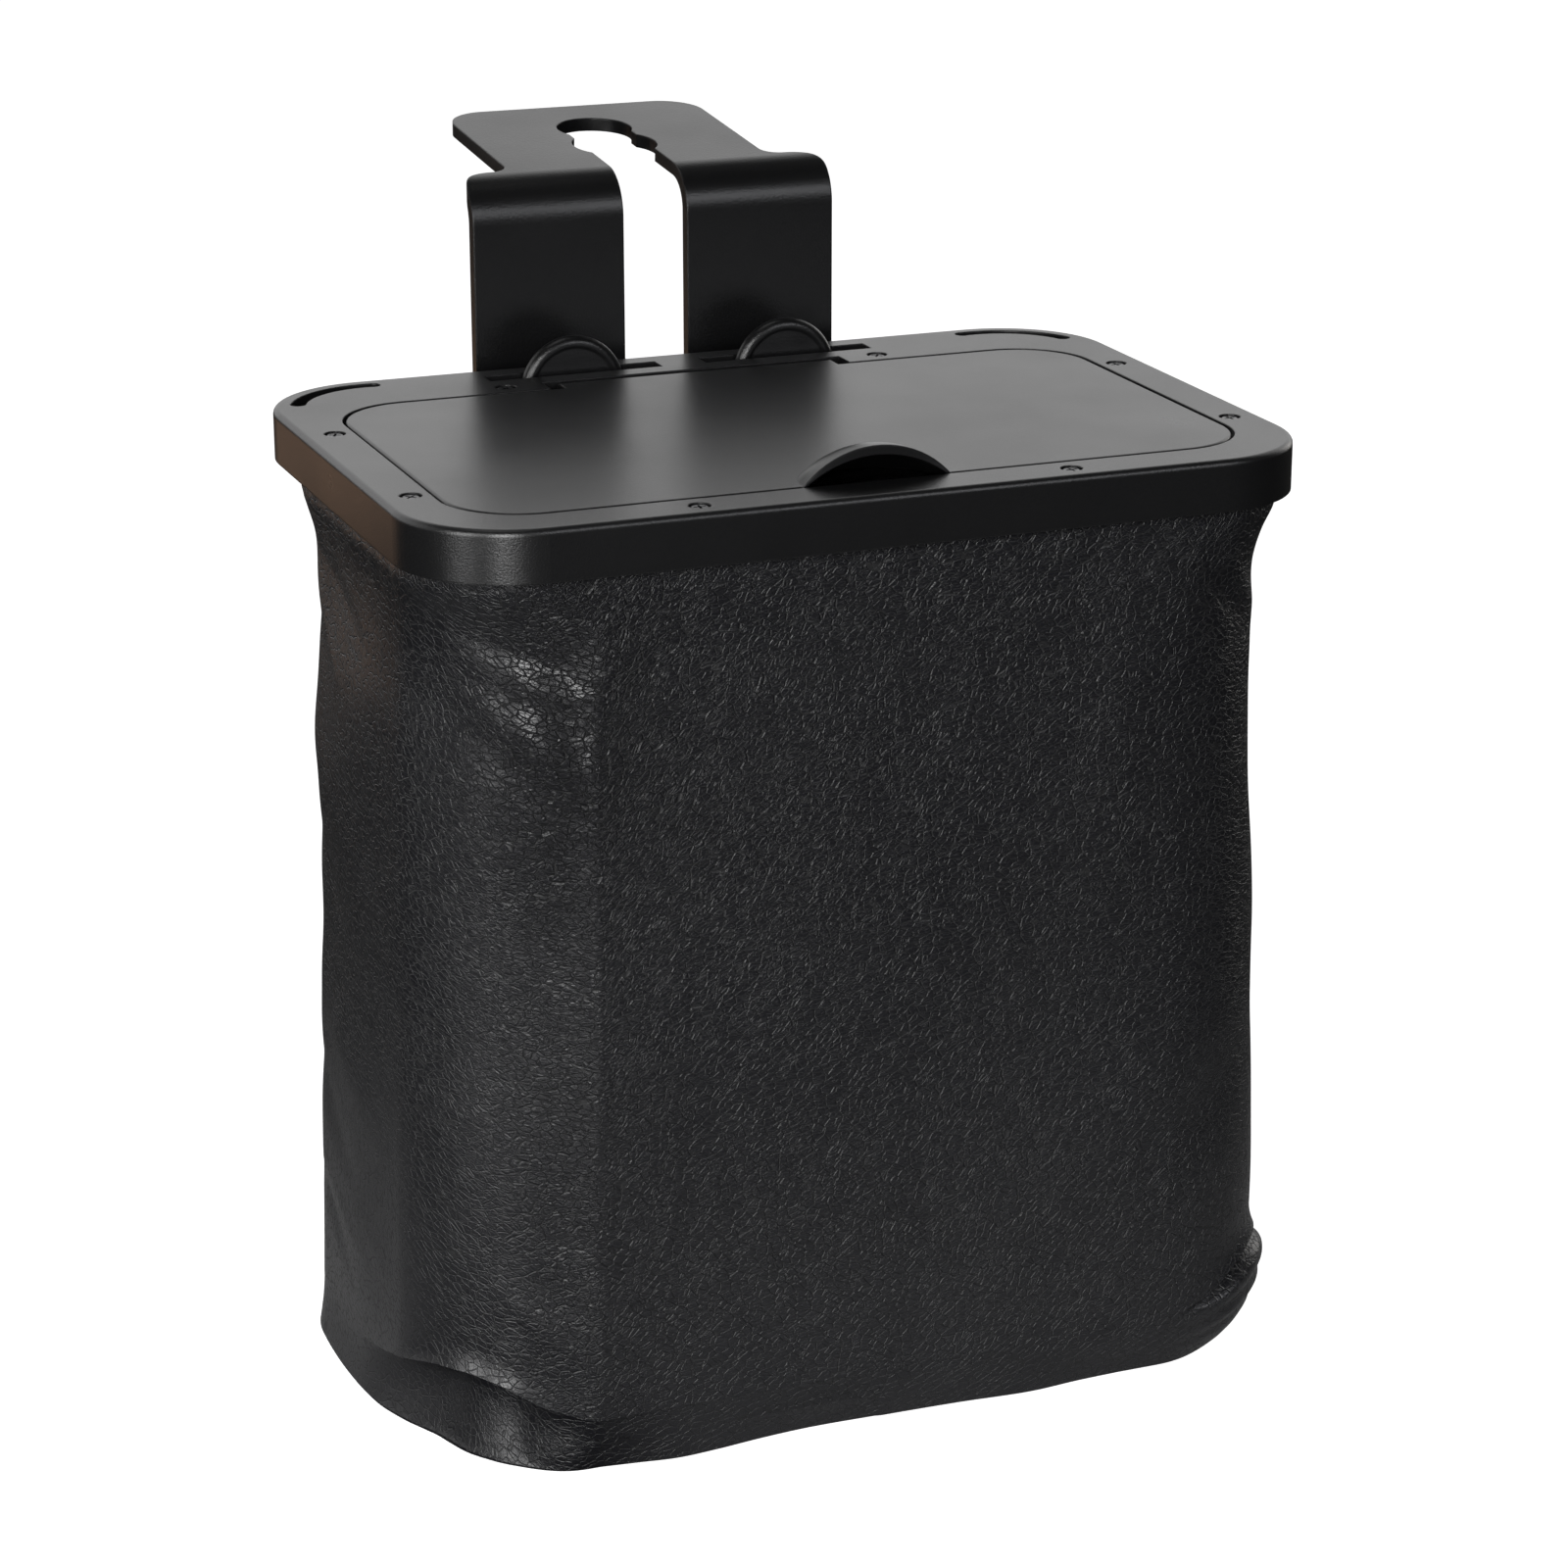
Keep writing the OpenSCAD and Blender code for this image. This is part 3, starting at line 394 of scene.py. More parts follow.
bag = {
    # Sizes in mm
    "halfWidth": 117.1, "front": -79.8, "rear": 67.2, "height": rimTop, "wall": 1.5,
    # Depths below the rim, and how far each side lies in from the widest outline there
    "leftIn": ([0, 13.5, 18, 21.5, 25, 33, 46, 56, 76, 111, 134, 150, 205, 228, 240, 250],
               [0, -0.3, -0.7, 0.1, 1, 2.1, 2.3, 1.4, 0.2, 0, -0.5, -1.2, -2, -2.9, -3.6, -4]),
    "rightIn": ([0, 13.5, 18, 21.5, 25, 33, 46, 73, 95, 116, 138, 159, 192, 212, 225, 250],
                [0, -0.3, -0.7, 0, 0.5, 1.2, 0.6, 0.4, -0.1, -1.6, -2.8, -3.5, -4.2, -4.8, -5, -4.6]),
    "frontIn": ([0, 18, 25, 33, 60, 130, 200, 254], [0, 0.1, 0.7, 1.1, 1.2, 0.8, 0.7, 0.7]),
    "rearIn": ([0, 33, 200, 254], [0, -0.3, -1, -1]),
    # Depths below the rim and the corners' radius there
    "corner": ([0, 13.5, 25, 33, 60, 254], [30, 31, 36, 39, 40, 40]),
    # Distances behind the front, with the height of the lip and how far the foot lies in below it
    "lip": ([0, 0.8, 3.3, 6.8, 11.7, 20.5, 36, 54, 72, 95, 150],
            [13, 16, 20, 24.5, 27.5, 28.5, 25.5, 20, 15, 13, 13]),
    "footLeft": ([0, 3.3, 11.7, 21, 30, 38, 49, 59, 69, 81, 94, 114, 134, 147],
                 [4, 6.5, 8.8, 9.3, 9.5, 8.5, 3.5, 0, -1.7, -2.7, -3, -2, 1, 4]),
    "footRight": ([0, 3.3, 11.7, 21, 38, 59, 94, 134, 147], [4, 5, 5, 3, 0, -2, -2, 1, 4]),
    # Places across the front and how far its foot stands out there; the wave ends this far behind it
    "frontWave": ([-76, -66, -56, -45, -33, -21, 1, 23, 45, 58, 70],
                  [0, 1.6, 3.2, 2.4, 0.6, -0.6, -0.3, 0.5, 2, 0.6, 0]),
    "waveReach": 4,
    # The fold below the lip grows between these heights of the lip
    "foldInLeft": 12.0, "foldOutRight": 4.5, "foldFrom": 14, "foldFull": 27,
    # Where the hide rolls over the lip, and the shares of the way to the foot where roll and creases end
    "lipRoll": 1.6, "lipRollHeight": 7, "rollEnd": 0.05, "creaseEnd": 0.3,
    # Pleats below the right lip: place and width as shares of the way down to the foot, and depth
    "pleats": [(0.06, 0.07, -3.5), (0.38, 0.08, -1.4), (0.64, 0.07, -1.1)],
    # Steps round the outline
    "cornerSteps": 34, "sideSteps": 44, "frontSteps": 104, "rearSteps": 40,
    # Rows, as first depth, last depth and count. The plain depth and the level row give the outline's places
    "neckRows": (3.4, 60, 56), "sideRows": (61.5, 180, 70), "lipRows": 37, "footRows": 50,
    "plainDepth": 200.0, "levelRow": 120,
    # The inner skin's rows, and heights with how far it lies in from the outer one at the ends and all round
    "innerNeckRows": (3.4, 60, 16), "innerSideRows": (70, rimTop - 50, 12), "innerLowRows": [38, 30, 20, 8],
    "innerEnds": ([1.5, 8, 22, 30, 38], [14, 14.5, 14, 9, 1]), "innerFoot": ([1.5, 8, 12], [4, 0.3, 0]),
    "endTurn": 1.6, "floorMiddle": -6.0, "insideRadius": 100,
    # Folds
    "folds": {
        # Start and end as (across, height), width and height, on the front and its rounded left end
        "front": [
            ((-112, 222), (-80, 207), 4.5, 1.3), ((-108, 212), (-79, 186), 6.0, 1.8),
            ((-104, 224), (-84, 214), 3.0, -0.7), ((-112, 205), (-92, 190), 6.0, -0.8),
            ((-78, 214), (-60, 224), 4.0, 0.5), ((-74, 206), (-56, 219), 3.0, -0.35),
            ((96, 224), (112, 206), 3.5, 0.8), ((88, 226), (106, 205), 3.0, -0.6),
            ((72, 226), (92, 212), 3.0, 0.45), ((108, 120), (48, 62), 13.0, 1.0),
            ((112, 92), (66, 52), 9.0, -0.7), ((70, 222), (62, 150), 9.0, 0.5),
            ((-104, 52), (-86, 34), 3.0, 0.5), ((-98, 58), (-82, 44), 2.5, -0.35),
            ((-30, 150), (20, 118), 20.0, 0.5), ((-60, 120), (-66, 70), 12.0, 0.5)],
        # The same on both sides, as (distance along y, height)
        "left": [
            ((50, 222), (8, 196), 5.0, 1.1), ((36, 224), (-10, 208), 4.0, -0.8),
            ((40, 178), (-6, 150), 8.0, 1.0), ((44, 150), (6, 128), 7.0, -0.8),
            ((30, 108), (-20, 82), 9.0, 0.9), ((44, 84), (0, 60), 7.0, -0.9),
            ((30, 52), (-16, 40), 4.0, 0.7), ((36, 46), (-2, 32), 3.5, -0.7),
            ((20, 60), (-30, 44), 6.0, 0.5)],
        "right": [
            ((40, 214), (-20, 196), 6.0, 0.9), ((30, 150), (-30, 120), 9.0, 1.0),
            ((40, 80), (-20, 60), 8.0, -0.8)],
    },
    "hide": {
        # The stiff front's left edge: where it runs, how proud it stands and the dent beside it
        "edgeTop": (-77, 225), "edgeLean": 3, "edgeHeight": 215, "edgeProud": 0.45, "edgeReach": 9,
        "dent": -3.5, "dentReach": 15, "dentLow": 0.85, "dentTop": 0.15, "dentZ": (60, 170),
        # Swellings: height, middle and reach across, and middle and reach upwards where they have them
        "cornerPuff": (2.0, -96, 12, 198, 30), "frontPuff": (0.6, 66, 18), "leftPuff": (3.2, -8, 37),
        # Heights between which all this fades in at the foot and out at the neck
        "foot": (3, 14), "neck": (238, 222), "leftFoot": (4, 34), "leftNeck": (238, 190),
        "gather": 0.35, "gatherHeight": 238, "gatherReach": 9,
        # Shares of the plan normal between which a side counts as facing its own way
        "frontFacing": (0.05, 0.5), "sideFacing": (0.3, 0.8),
    },
    # How the grain's rows run: they rise to the crease, droop beside it and slope down on the right
    "grainFlow": {
        "creaseX": -78, "frontOnly": -60, "rise": 16, "riseReach": 30, "riseFrom": 60, "riseFull": 190,
        "droop": 0.5, "droopReach": 45, "droopEnd": 150, "fadeFrom": 170, "fadeEnd": 320,
        "rightSlope": 0.22, "rightStart": 10, "rightSpan": 110, "rightFrom": 150, "rightFull": 60,
    },
    # Depth of the grain, as shares of the leather's own
    "grainDepths": {
        "plain": 0.62, "edge": 0.75, "edgeX": (-80, 24), "edgeZ": (196, 42), "upper": 0.12,
        "upperZ": (60, 200), "leftEnd": 0.28, "leftX": (-84, -112), "foot": 0.18, "footZ": (60, 10),
        "least": 0.2, "most": 1.5, "inside": 0.5,
    },
}


def softTable(table, value):
    # Table lookup along a smooth curve through the points
    xs, ys = (np.array(v, float) for v in table)
    value = np.clip(np.asarray(value, float), xs[0], xs[-1])
    slope = np.gradient(ys, xs)
    k = np.clip(np.searchsorted(xs, value, side="right") - 1, 0, len(xs) - 2)
    h = xs[k + 1] - xs[k]
    t = (value - xs[k]) / h
    return ((1 + 2 * t) * (1 - t) ** 2 * ys[k] + t * (1 - t) ** 2 * h * slope[k]
            + t * t * (3 - 2 * t) * ys[k + 1] + t * t * (t - 1) * h * slope[k + 1])


def outlineAt(depthRow, b=bag):
    # One row of points and plan normals, whose columns may each lie at their own depth
    half = {1: b["halfWidth"] - softTable(b["rightIn"], depthRow),
            -1: b["halfWidth"] - softTable(b["leftIn"], depthRow)}
    front = b["front"] + softTable(b["frontIn"], depthRow)
    rear = b["rear"] - softTable(b["rearIn"], depthRow)
    corner = softTable(b["corner"], depthRow)
    n = b["cornerSteps"]
    steps = [b["sideSteps"], b["rearSteps"], b["sideSteps"], b["frontSteps"]]
    counts = [count for run in steps for count in (n + 1, run - 1)]
    starts = np.concatenate([[0], np.cumsum(counts)])
    px, py, nx, ny = (np.zeros(starts[-1]) for _ in range(4))
    for k, (sx, sy, start) in enumerate([(1, -1, -90), (1, 1, 0), (-1, 1, 90), (-1, -1, 180)]):
        s = slice(starts[2 * k], starts[2 * k + 1])
        a = np.radians(start + 90 * np.arange(n + 1) / n)
        px[s] = sx * (half[sx][s] - corner[s]) + corner[s] * np.cos(a)
        py[s] = ((front[s] + corner[s]) if sy < 0 else (rear[s] - corner[s])) + corner[s] * np.sin(a)
        nx[s], ny[s] = np.cos(a), np.sin(a)
    for k, (dx, dy) in enumerate([(1, 0), (0, 1), (-1, 0), (0, -1)]):
        s = slice(starts[2 * k + 1], starts[2 * k + 2])
        u = np.arange(1, steps[k]) / steps[k]
        if dx:
            px[s] = dx * half[dx][s]
            py[s] = front[s] + corner[s] + (rear[s] - front[s] - 2 * corner[s]) * (u if dx > 0 else 1 - u)
        else:
            left, right = corner[s] - half[-1][s], half[1][s] - corner[s]
            px[s] = left + (right - left) * (1 - u if dy > 0 else u)
            py[s] = rear[s] if dy > 0 else front[s]
        nx[s], ny[s] = dx, dy
    return np.stack([px, py], -1), np.stack([nx, ny], -1)


def fold(x, z, start, end, width, height):
    # A soft fold along a line in the front view, fading at its ends; a negative height is a hollow
    (ax, az), (bx, bz) = start, end
    dx, dz = bx - ax, bz - az
    t = np.clip(((x - ax) * dx + (z - az) * dz) / (dx * dx + dz * dz), 0, 1)
    distance = np.hypot(x - ax - t * dx, z - az - t * dz)
    fade = np.sin(np.pi * np.clip(0.12 + 0.76 * t, 0, 1))
    return height * fade * np.exp(-(distance / width) ** 2)


def creases(x, y, z, normal, v=bag["hide"]):
    # Outward shift of the skin for the board's edges, the folds and the slow unevenness of the hide
    nx, ny = normal[..., 0], normal[..., 1]
    front = smoothStep(*v["frontFacing"], -ny)
    left, right = smoothStep(*v["sideFacing"], -nx), smoothStep(*v["sideFacing"], nx)
    upright = smoothStep(*v["foot"], z) * smoothStep(*v["neck"], z)
    # Sharp edge of the stiff front on the left: the skin turns away from it at once
    topX, topZ = v["edgeTop"]
    edgeX = topX - v["edgeLean"] * (topZ - z) / v["edgeHeight"]
    beside = np.clip(edgeX - x, 0, None) / v["dentReach"]
    dent = v["dent"] * beside * np.exp(1 - beside)
    dent = dent * (v["dentLow"] + v["dentTop"] * smoothStep(*v["dentZ"], z))
    crest = v["edgeProud"] * np.exp(-np.clip(x - edgeX, 0, None) / v["edgeReach"])
    edge = np.where(x < edgeX, v["edgeProud"] + dent, crest) * front * upright
    high, acrossX, reachX, upZ, reachZ = v["cornerPuff"]
    puff = high * bell(x, acrossX, reachX) * bell(z, upZ, reachZ) * front
    high, acrossX, reachX = v["frontPuff"]
    out = edge + puff + high * bell(x, acrossX, reachX) * front * upright
    for side, along, facing in (("front", x, front), ("left", y, left), ("right", y, right)):
        for start, end, width, height in bag["folds"][side]:
            out = out + fold(along, z, start, end, width, height) * facing
    # Slow waves of the hide, the last of them only at both ends
    wave = (0.30 * np.sin(x / 21 + 1.3 * np.sin(z / 37)) * np.sin(z / 29 + 0.7 * np.sin(x / 33))
            + 0.12 * np.sin(x / 9 + z / 17 + 2) * np.sin(z / 11 - x / 19)
            + 0.45 * np.sin(y / 16 + z / 23) * np.sin(z / 31 + 1.9) * (left + right))
    # The left side swells a little, and the hide gathers where it goes up under the frame
    high, alongY, reachY = v["leftPuff"]
    puff = high * bell(y, alongY, reachY) * left * smoothStep(*v["leftFoot"], z)
    out = out + puff * smoothStep(*v["leftNeck"], z)
    gathers = v["gather"] * np.sin(x / 2.6 + 2 * np.sin(y / 7)) * np.sin(y / 3.1 + 1)
    return out + wave * upright + gathers * bell(z, v["gatherHeight"], v["gatherReach"])


def makeBagSkin(b=bag):
    columns = 4 * b["cornerSteps"] + 2 * b["sideSteps"] + b["rearSteps"] + b["frontSteps"]
    px, py = outlineAt(np.full(columns, b["plainDepth"]))[0].T
    behind = py - b["front"]
    lip = softTable(b["lip"], behind)
    foot = np.where(px < 0, softTable(b["footLeft"], behind), softTable(b["footRight"], behind))
    foot = foot - np.clip(1 - behind / b["waveReach"], 0, 1) * softTable(b["frontWave"], px)
    folded = smoothStep(b["foldFrom"], b["foldFull"], lip)
    # Rows: close below the rim, plain down to the folds, then crowded towards the lip and below it
    upper = np.concatenate([np.linspace(*b["neckRows"]), np.linspace(*b["sideRows"])])
    toLip = 1 - (1 - np.linspace(0, 1, b["lipRows"])[1:]) ** 1.5
    toFoot = np.linspace(0, 1, b["footRows"])[1:] ** 1.25
    height = b["height"]
    depth = np.concatenate([
        np.broadcast_to(upper[:, None], (len(upper), len(px))),
        upper[-1] + (height - lip - upper[-1])[None] * toLip[:, None],
        height - lip + lip[None] * toFoot[:, None]])
    rows = [outlineAt(row) for row in depth]
    points = np.array([r[0] for r in rows])
    normal = np.array([r[1] for r in rows])
    share = np.concatenate([np.full(len(upper) + len(toLip), -1.0), toFoot])[:, None]
    below, t = share >= 0, np.clip(share, 0, 1)  # t goes from the lip to the foot
    left = (px < 0)[None]
    swell = np.where(left, b["foldInLeft"], -b["foldOutRight"])
    # Under the lip the skin goes in sharply on the left, and on the right it swells out in pleats
    pleats = np.where(left, 0.0, sum(deep * bell(t, middle, width) for middle, width, deep in b["pleats"]))
    under = (-foot * t ** 1.3 * (1 - folded)
             - folded * (foot * t ** 2 + swell * np.sin(np.pi * t ** 0.6).clip(0) ** 0.8 - pleats))
    z = height - depth
    # The hide rolls out over the lip, and its creases end below
    roll, rollHeight = b["lipRoll"], b["lipRollHeight"]
    over = roll * folded * np.clip((depth - (height - lip - rollHeight)) / rollHeight, 0, 1) ** 2
    out = np.where(below, under + roll * folded * np.clip(1 - t / b["rollEnd"], 0, 1), over)
    fadeDown = np.where(below, 1 - np.clip(t / b["creaseEnd"], 0, 1) * folded, 1)
    out = out + creases(points[..., 0], points[..., 1], z, normal) * fadeDown
    return points + normal * out[..., None], z


skinPoints, skinZ = makeBagSkin()
print("bag skin", skinZ.shape[0], "by", skinZ.shape[1])


def grainPlace(points, z, v=bag["grainFlow"], row=bag["levelRow"]):
    # Arc length and height as grain coordinates, bent so that the grain's rows run as they do in the hide
    x, y = points[..., 0], points[..., 1]
    step = np.hypot(np.diff(x[row], append=x[row, :1]), np.diff(y[row], append=y[row, :1]))
    along = np.concatenate([[0], np.cumsum(step)[:-1]])
    fromCrease = np.where(y[row] < v["frontOnly"], np.abs(x[row] - v["creaseX"]), np.inf)
    crease = along[np.argmin(fromCrease)]
    beside = np.clip(crease - along, 0, v["droopEnd"])
    near = smoothStep(v["fadeEnd"], v["fadeFrom"], crease - along)
    rise = v["rise"] * np.exp(-np.clip(along - crease, 0, None) / v["riseReach"])
    rise = rise * smoothStep(v["riseFrom"], v["riseFull"], z)
    droop = v["droop"] * beside ** 2 / (beside + v["droopReach"])
    slope = v["rightSlope"] * np.clip(x - v["rightStart"], 0, v["rightSpan"])
    height = z + (rise - droop) * near - slope * smoothStep(v["rightFrom"], v["rightFull"], z)
    # The row is wound on a cylinder of its own length, so the grain has no seam
    length = along[-1] + step[-1]
    turn = 2 * np.pi * along / length
    radius = length / (2 * np.pi)
    return np.stack([np.broadcast_to(radius * np.cos(turn), x.shape),
                     np.broadcast_to(radius * np.sin(turn), x.shape), height], -1)


def grainStrength(x, z, v=bag["grainDepths"]):
    # The grain stands out most below the rim at the board's edge, and less round the left end and at the foot
    strength = v["plain"] + v["edge"] * bell(x, *v["edgeX"]) * bell(z, *v["edgeZ"])
    strength = strength + v["upper"] * smoothStep(*v["upperZ"], z)
    strength = strength - v["leftEnd"] * smoothStep(*v["leftX"], x) - v["foot"] * smoothStep(*v["footZ"], z)
    return np.clip(strength, v["least"], v["most"])


def makeInnerSkin(columns, b=bag):
    # The inside of the hide, a wall further in, and further still where the lower corners fold
    depths = np.concatenate([np.linspace(*b["innerNeckRows"]), np.linspace(*b["innerSideRows"])])
    heights = np.concatenate([b["height"] - depths, b["innerLowRows"], [b["wall"]]])
    inner = []
    for z in heights:
        p, n = outlineAt(np.full(columns, b["height"] - z))
        ends = np.minimum(1, b["endTurn"] * np.abs(n[:, :1]))
        inset = b["wall"] + np.interp(z, *b["innerFoot"]) + np.interp(z, *b["innerEnds"]) * ends
        inset = inset - creases(p[:, 0], p[:, 1], np.full(columns, z), n)[:, None]
        inner.append(np.concatenate([p - n * inset, np.full((columns, 1), z)], -1))
    return np.array(inner)


def makeBag(b=bag):
    outer = np.concatenate([skinPoints, skinZ[..., None]], -1)
    inner = makeInnerSkin(outer.shape[1])
    points, faces = closedBag(outer, inner, np.array([0, b["floorMiddle"], 0]), b["wall"])
    obj = addMesh("leather_bag", points * mm, faces, leatherMaterial)
    # The inside is never seen close to, so its grain is only wound round the middle
    first = skinZ.size
    place = np.zeros((len(points), 3))
    place[:, 2] = points[:, 2]
    place[:, 0] = np.arctan2(points[:, 1], points[:, 0]) * b["insideRadius"]
    place[:first] = grainPlace(skinPoints, skinZ).reshape(-1, 3)
    grain = np.full(len(points), b["grainDepths"]["inside"])
    grain[:first] = grainStrength(skinPoints[..., 0], skinZ).reshape(-1)
    attributes = obj.data.attributes
    attributes.new("grainPlace", "FLOAT_VECTOR", "POINT").data.foreach_set("vector", (place * mm).ravel())
    attributes.new("grainStrength", "FLOAT", "POINT").data.foreach_set("value", grain)
    return obj


leatherBag = makeBag()
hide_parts("outer_bag")
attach(leatherBag, "bin")
print("leather bag made")


# The lining: a thin cloth bag with a few soft folds

lining = {"halfWidth": 112.9, "front": -74.6, "rear": 62.9, "corner": 36.0, "footIn": 16.0, "rise": 34.0,
          "bottom": 4.9, "top": 241.2, "thickness": 0.8, "middle": -6.0, "columns": 200,
          # Heights over the shoulder: where it narrows, and where its rows end and begin, with their counts
          "narrowing": (7, -1), "sideRows": (8, 34), "footRows": (6, 14),
          "foldCount": 7, "foldDepth": 0.5, "foldHeight": 40, "foldReach": 70}


def makeLining(v=lining):
    n, bottom, thickness, corner = v["columns"], v["bottom"], v["thickness"], v["corner"]
    shoulder = bottom + v["rise"]
    a = 2 * np.pi * (np.arange(n) + 0.5) / n
    ux, uy = np.cos(a), np.sin(a)

    def ring(z, inset):
        # A rounded rectangle, narrower below its shoulder: corner arcs joined by straight runs
        low = smoothStep(shoulder + v["narrowing"][0], shoulder + v["narrowing"][1], z) * v["footIn"]
        front, rear = v["front"] + low / 2, v["rear"] - low / 2
        cx, cy = v["halfWidth"] - low - corner, (rear - front) / 2 - corner
        px = np.sign(ux) * cx * smoothStep(0, 0.5, np.abs(ux)) + (corner - inset) * ux
        py = np.sign(uy) * cy * smoothStep(0, 0.5, np.abs(uy)) + (corner - inset) * uy
        waves = np.sin(v["foldCount"] * a + 0.6) * bell(z, v["top"] - v["foldHeight"], v["foldReach"])
        inward = v["foldDepth"] * waves + v["foldDepth"]
        return np.stack([px - ux * inward, py - uy * inward + (rear + front) / 2, np.full(n, z)], -1)

    (sideEnd, sideCount), (footStart, footCount) = v["sideRows"], v["footRows"]
    heights = np.concatenate([np.linspace(v["top"], shoulder + sideEnd, sideCount),
                              np.linspace(shoulder + footStart, bottom, footCount)])
    outer = np.array([ring(z, 0.0) for z in heights])
    heights[-1] += thickness
    inner = np.array([ring(z, thickness) for z in heights])
    points, faces = closedBag(outer, inner, np.array([0, v["middle"], bottom]), thickness)
    return addMesh("cloth_lining", points * mm, faces, liningMaterial)


clothLining = makeLining()
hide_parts("bag_lining")
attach(clothLining, "bin")
print("lining made")


# Cross-recess screws, set by Geometry Nodes at the places of the sunk seats

screws = {"sideX": 111.6, "sideY": (26.6, -41.2), "frontX": 49.5, "frontY": -75.8, "rearX": 54.3,
          "rearY": 61.0, "seatDepth": 1.7, "headRadius": 2.4, "headHeight": 1.35, "crown": 0.25,
          "crownSlope": 1.6, "shankRadius": 1.4, "shankLength": 8.0, "lap": 0.2, "crossLength": 3.2,
          "crossWidth": 0.62, "crossDepth": 0.9, "sides": 40, "seed": 7}


def makeScrews(v=screws):
    tree = bpy.data.node_groups.new("crossScrews", "GeometryNodeTree")
    sizes = ("headRadius", "headHeight", "crown", "shankRadius", "shankLength", "lap", "crossLength",
             "crossWidth", "crossDepth")
    tree.interface.new_socket(name="Geometry", in_out="INPUT", socket_type="NodeSocketGeometry")
    for label in sizes:
        tree.interface.new_socket(name=label, in_out="INPUT", socket_type="NodeSocketFloat")
    tree.interface.new_socket(name="Geometry", in_out="OUTPUT", socket_type="NodeSocketGeometry")
    gin, gout = tree.nodes.new("NodeGroupInput"), tree.nodes.new("NodeGroupOutput")

    def value(label):
        return gin.outputs[label]

    def drum(bottom, top, depth, foot=None):
        # A round block from its two radii, its height and the height of its foot
        node = tree.nodes.new("GeometryNodeMeshCone")
        node.inputs["Vertices"].default_value = v["sides"]
        link(tree, top, node.inputs["Radius Top"])
        link(tree, bottom, node.inputs["Radius Bottom"])
        link(tree, depth, node.inputs["Depth"])
        return node.outputs["Mesh"] if foot is None else moved(node.outputs["Mesh"], foot)

    def moved(mesh, lift, turn=0.0):
        node = tree.nodes.new("GeometryNodeTransform")
        offset = tree.nodes.new("ShaderNodeCombineXYZ")
        link(tree, lift, offset.inputs["Z"])
        link(tree, mesh, node.inputs["Geometry"])
        link(tree, offset.outputs[0], node.inputs["Translation"])
        node.inputs["Rotation"].default_value = (0, 0, turn)
        return node.outputs["Geometry"]

    def boolean(operation, first, others):
        node = tree.nodes.new("GeometryNodeMeshBoolean")
        node.operation = operation
        if first is not None:
            link(tree, first, node.inputs["Mesh 1"])
        for mesh in others:
            link(tree, mesh, node.inputs["Mesh 2"])
        return node.outputs["Mesh"]

    crownIn = mathNode(tree, "MULTIPLY", value("crown"), v["crownSlope"])
    rounded = mathNode(tree, "SUBTRACT", value("headRadius"), crownIn)
    brim = mathNode(tree, "SUBTRACT", value("headHeight"), value("crown"))
    shankFoot = mathNode(tree, "MULTIPLY", value("shankLength"), -1.0)
    shankHeight = mathNode(tree, "ADD", value("shankLength"), value("lap"))
    head = drum(value("headRadius"), value("headRadius"), brim)
    crown = drum(value("headRadius"), rounded, value("crown"), brim)
    shank = drum(value("shankRadius"), value("shankRadius"), shankHeight, shankFoot)
    body = boolean("UNION", None, [head, crown, shank])
    # The cross: two bars centred on the head's top, so half of their height cuts in
    size = tree.nodes.new("ShaderNodeCombineXYZ")
    link(tree, value("crossLength"), size.inputs["X"])
    link(tree, value("crossWidth"), size.inputs["Y"])
    link(tree, mathNode(tree, "MULTIPLY", value("crossDepth"), 2.0), size.inputs["Z"])
    bar = tree.nodes.new("GeometryNodeMeshCube")
    link(tree, size.outputs[0], bar.inputs["Size"])
    bars = [moved(bar.outputs["Mesh"], value("headHeight"), turn) for turn in (0, math.pi / 2)]
    cut = boolean("DIFFERENCE", body, bars)
    # Each screw stops at its own turn. The float sockets are input 3, the most, and output 1
    turn = tree.nodes.new("FunctionNodeRandomValue")
    turn.inputs[3].default_value = math.pi / 2
    turn.inputs["Seed"].default_value = v["seed"]
    turned = tree.nodes.new("ShaderNodeCombineXYZ")
    link(tree, turn.outputs[1], turned.inputs["Z"])
    instances = tree.nodes.new("GeometryNodeInstanceOnPoints")
    link(tree, gin.outputs["Geometry"], instances.inputs["Points"])
    link(tree, cut, instances.inputs["Instance"])
    link(tree, turned.outputs[0], instances.inputs["Rotation"])
    real = tree.nodes.new("GeometryNodeRealizeInstances")
    link(tree, instances.outputs["Instances"], real.inputs["Geometry"])
    finish = tree.nodes.new("GeometryNodeSetMaterial")
    finish.inputs["Material"].default_value = screwMaterial
    link(tree, real.outputs["Geometry"], finish.inputs["Geometry"])
    link(tree, finish.outputs["Geometry"], gout.inputs["Geometry"])

    places = [(side * v["sideX"], y) for side in (-1, 1) for y in v["sideY"]]
    places += [(side * v["frontX"], v["frontY"]) for side in (-1, 1)]
    places += [(side * v["rearX"], v["rearY"]) for side in (-1, 1)]
    seatZ = rimTop - v["seatDepth"]
    points = addMesh("screw_places", [(x * mm, y * mm, seatZ * mm) for x, y in places], [], screwMaterial)
    modifier = points.modifiers.new("crossScrews", "NODES")
    modifier.node_group = tree
    for item in tree.interface.items_tree:
        if item.in_out == "INPUT" and item.name in sizes:
            modifier[item.identifier] = v[item.name] * mm
    evaluated = points.evaluated_get(bpy.context.evaluated_depsgraph_get())
    mesh = bpy.data.meshes.new_from_object(evaluated)
    points.modifiers.remove(modifier)
    bpy.data.objects.remove(points)
    mesh.name = "cross_screws"
    obj = bpy.data.objects.new("cross_screws", mesh)
    bpy.context.scene.collection.objects.link(obj)
    return obj


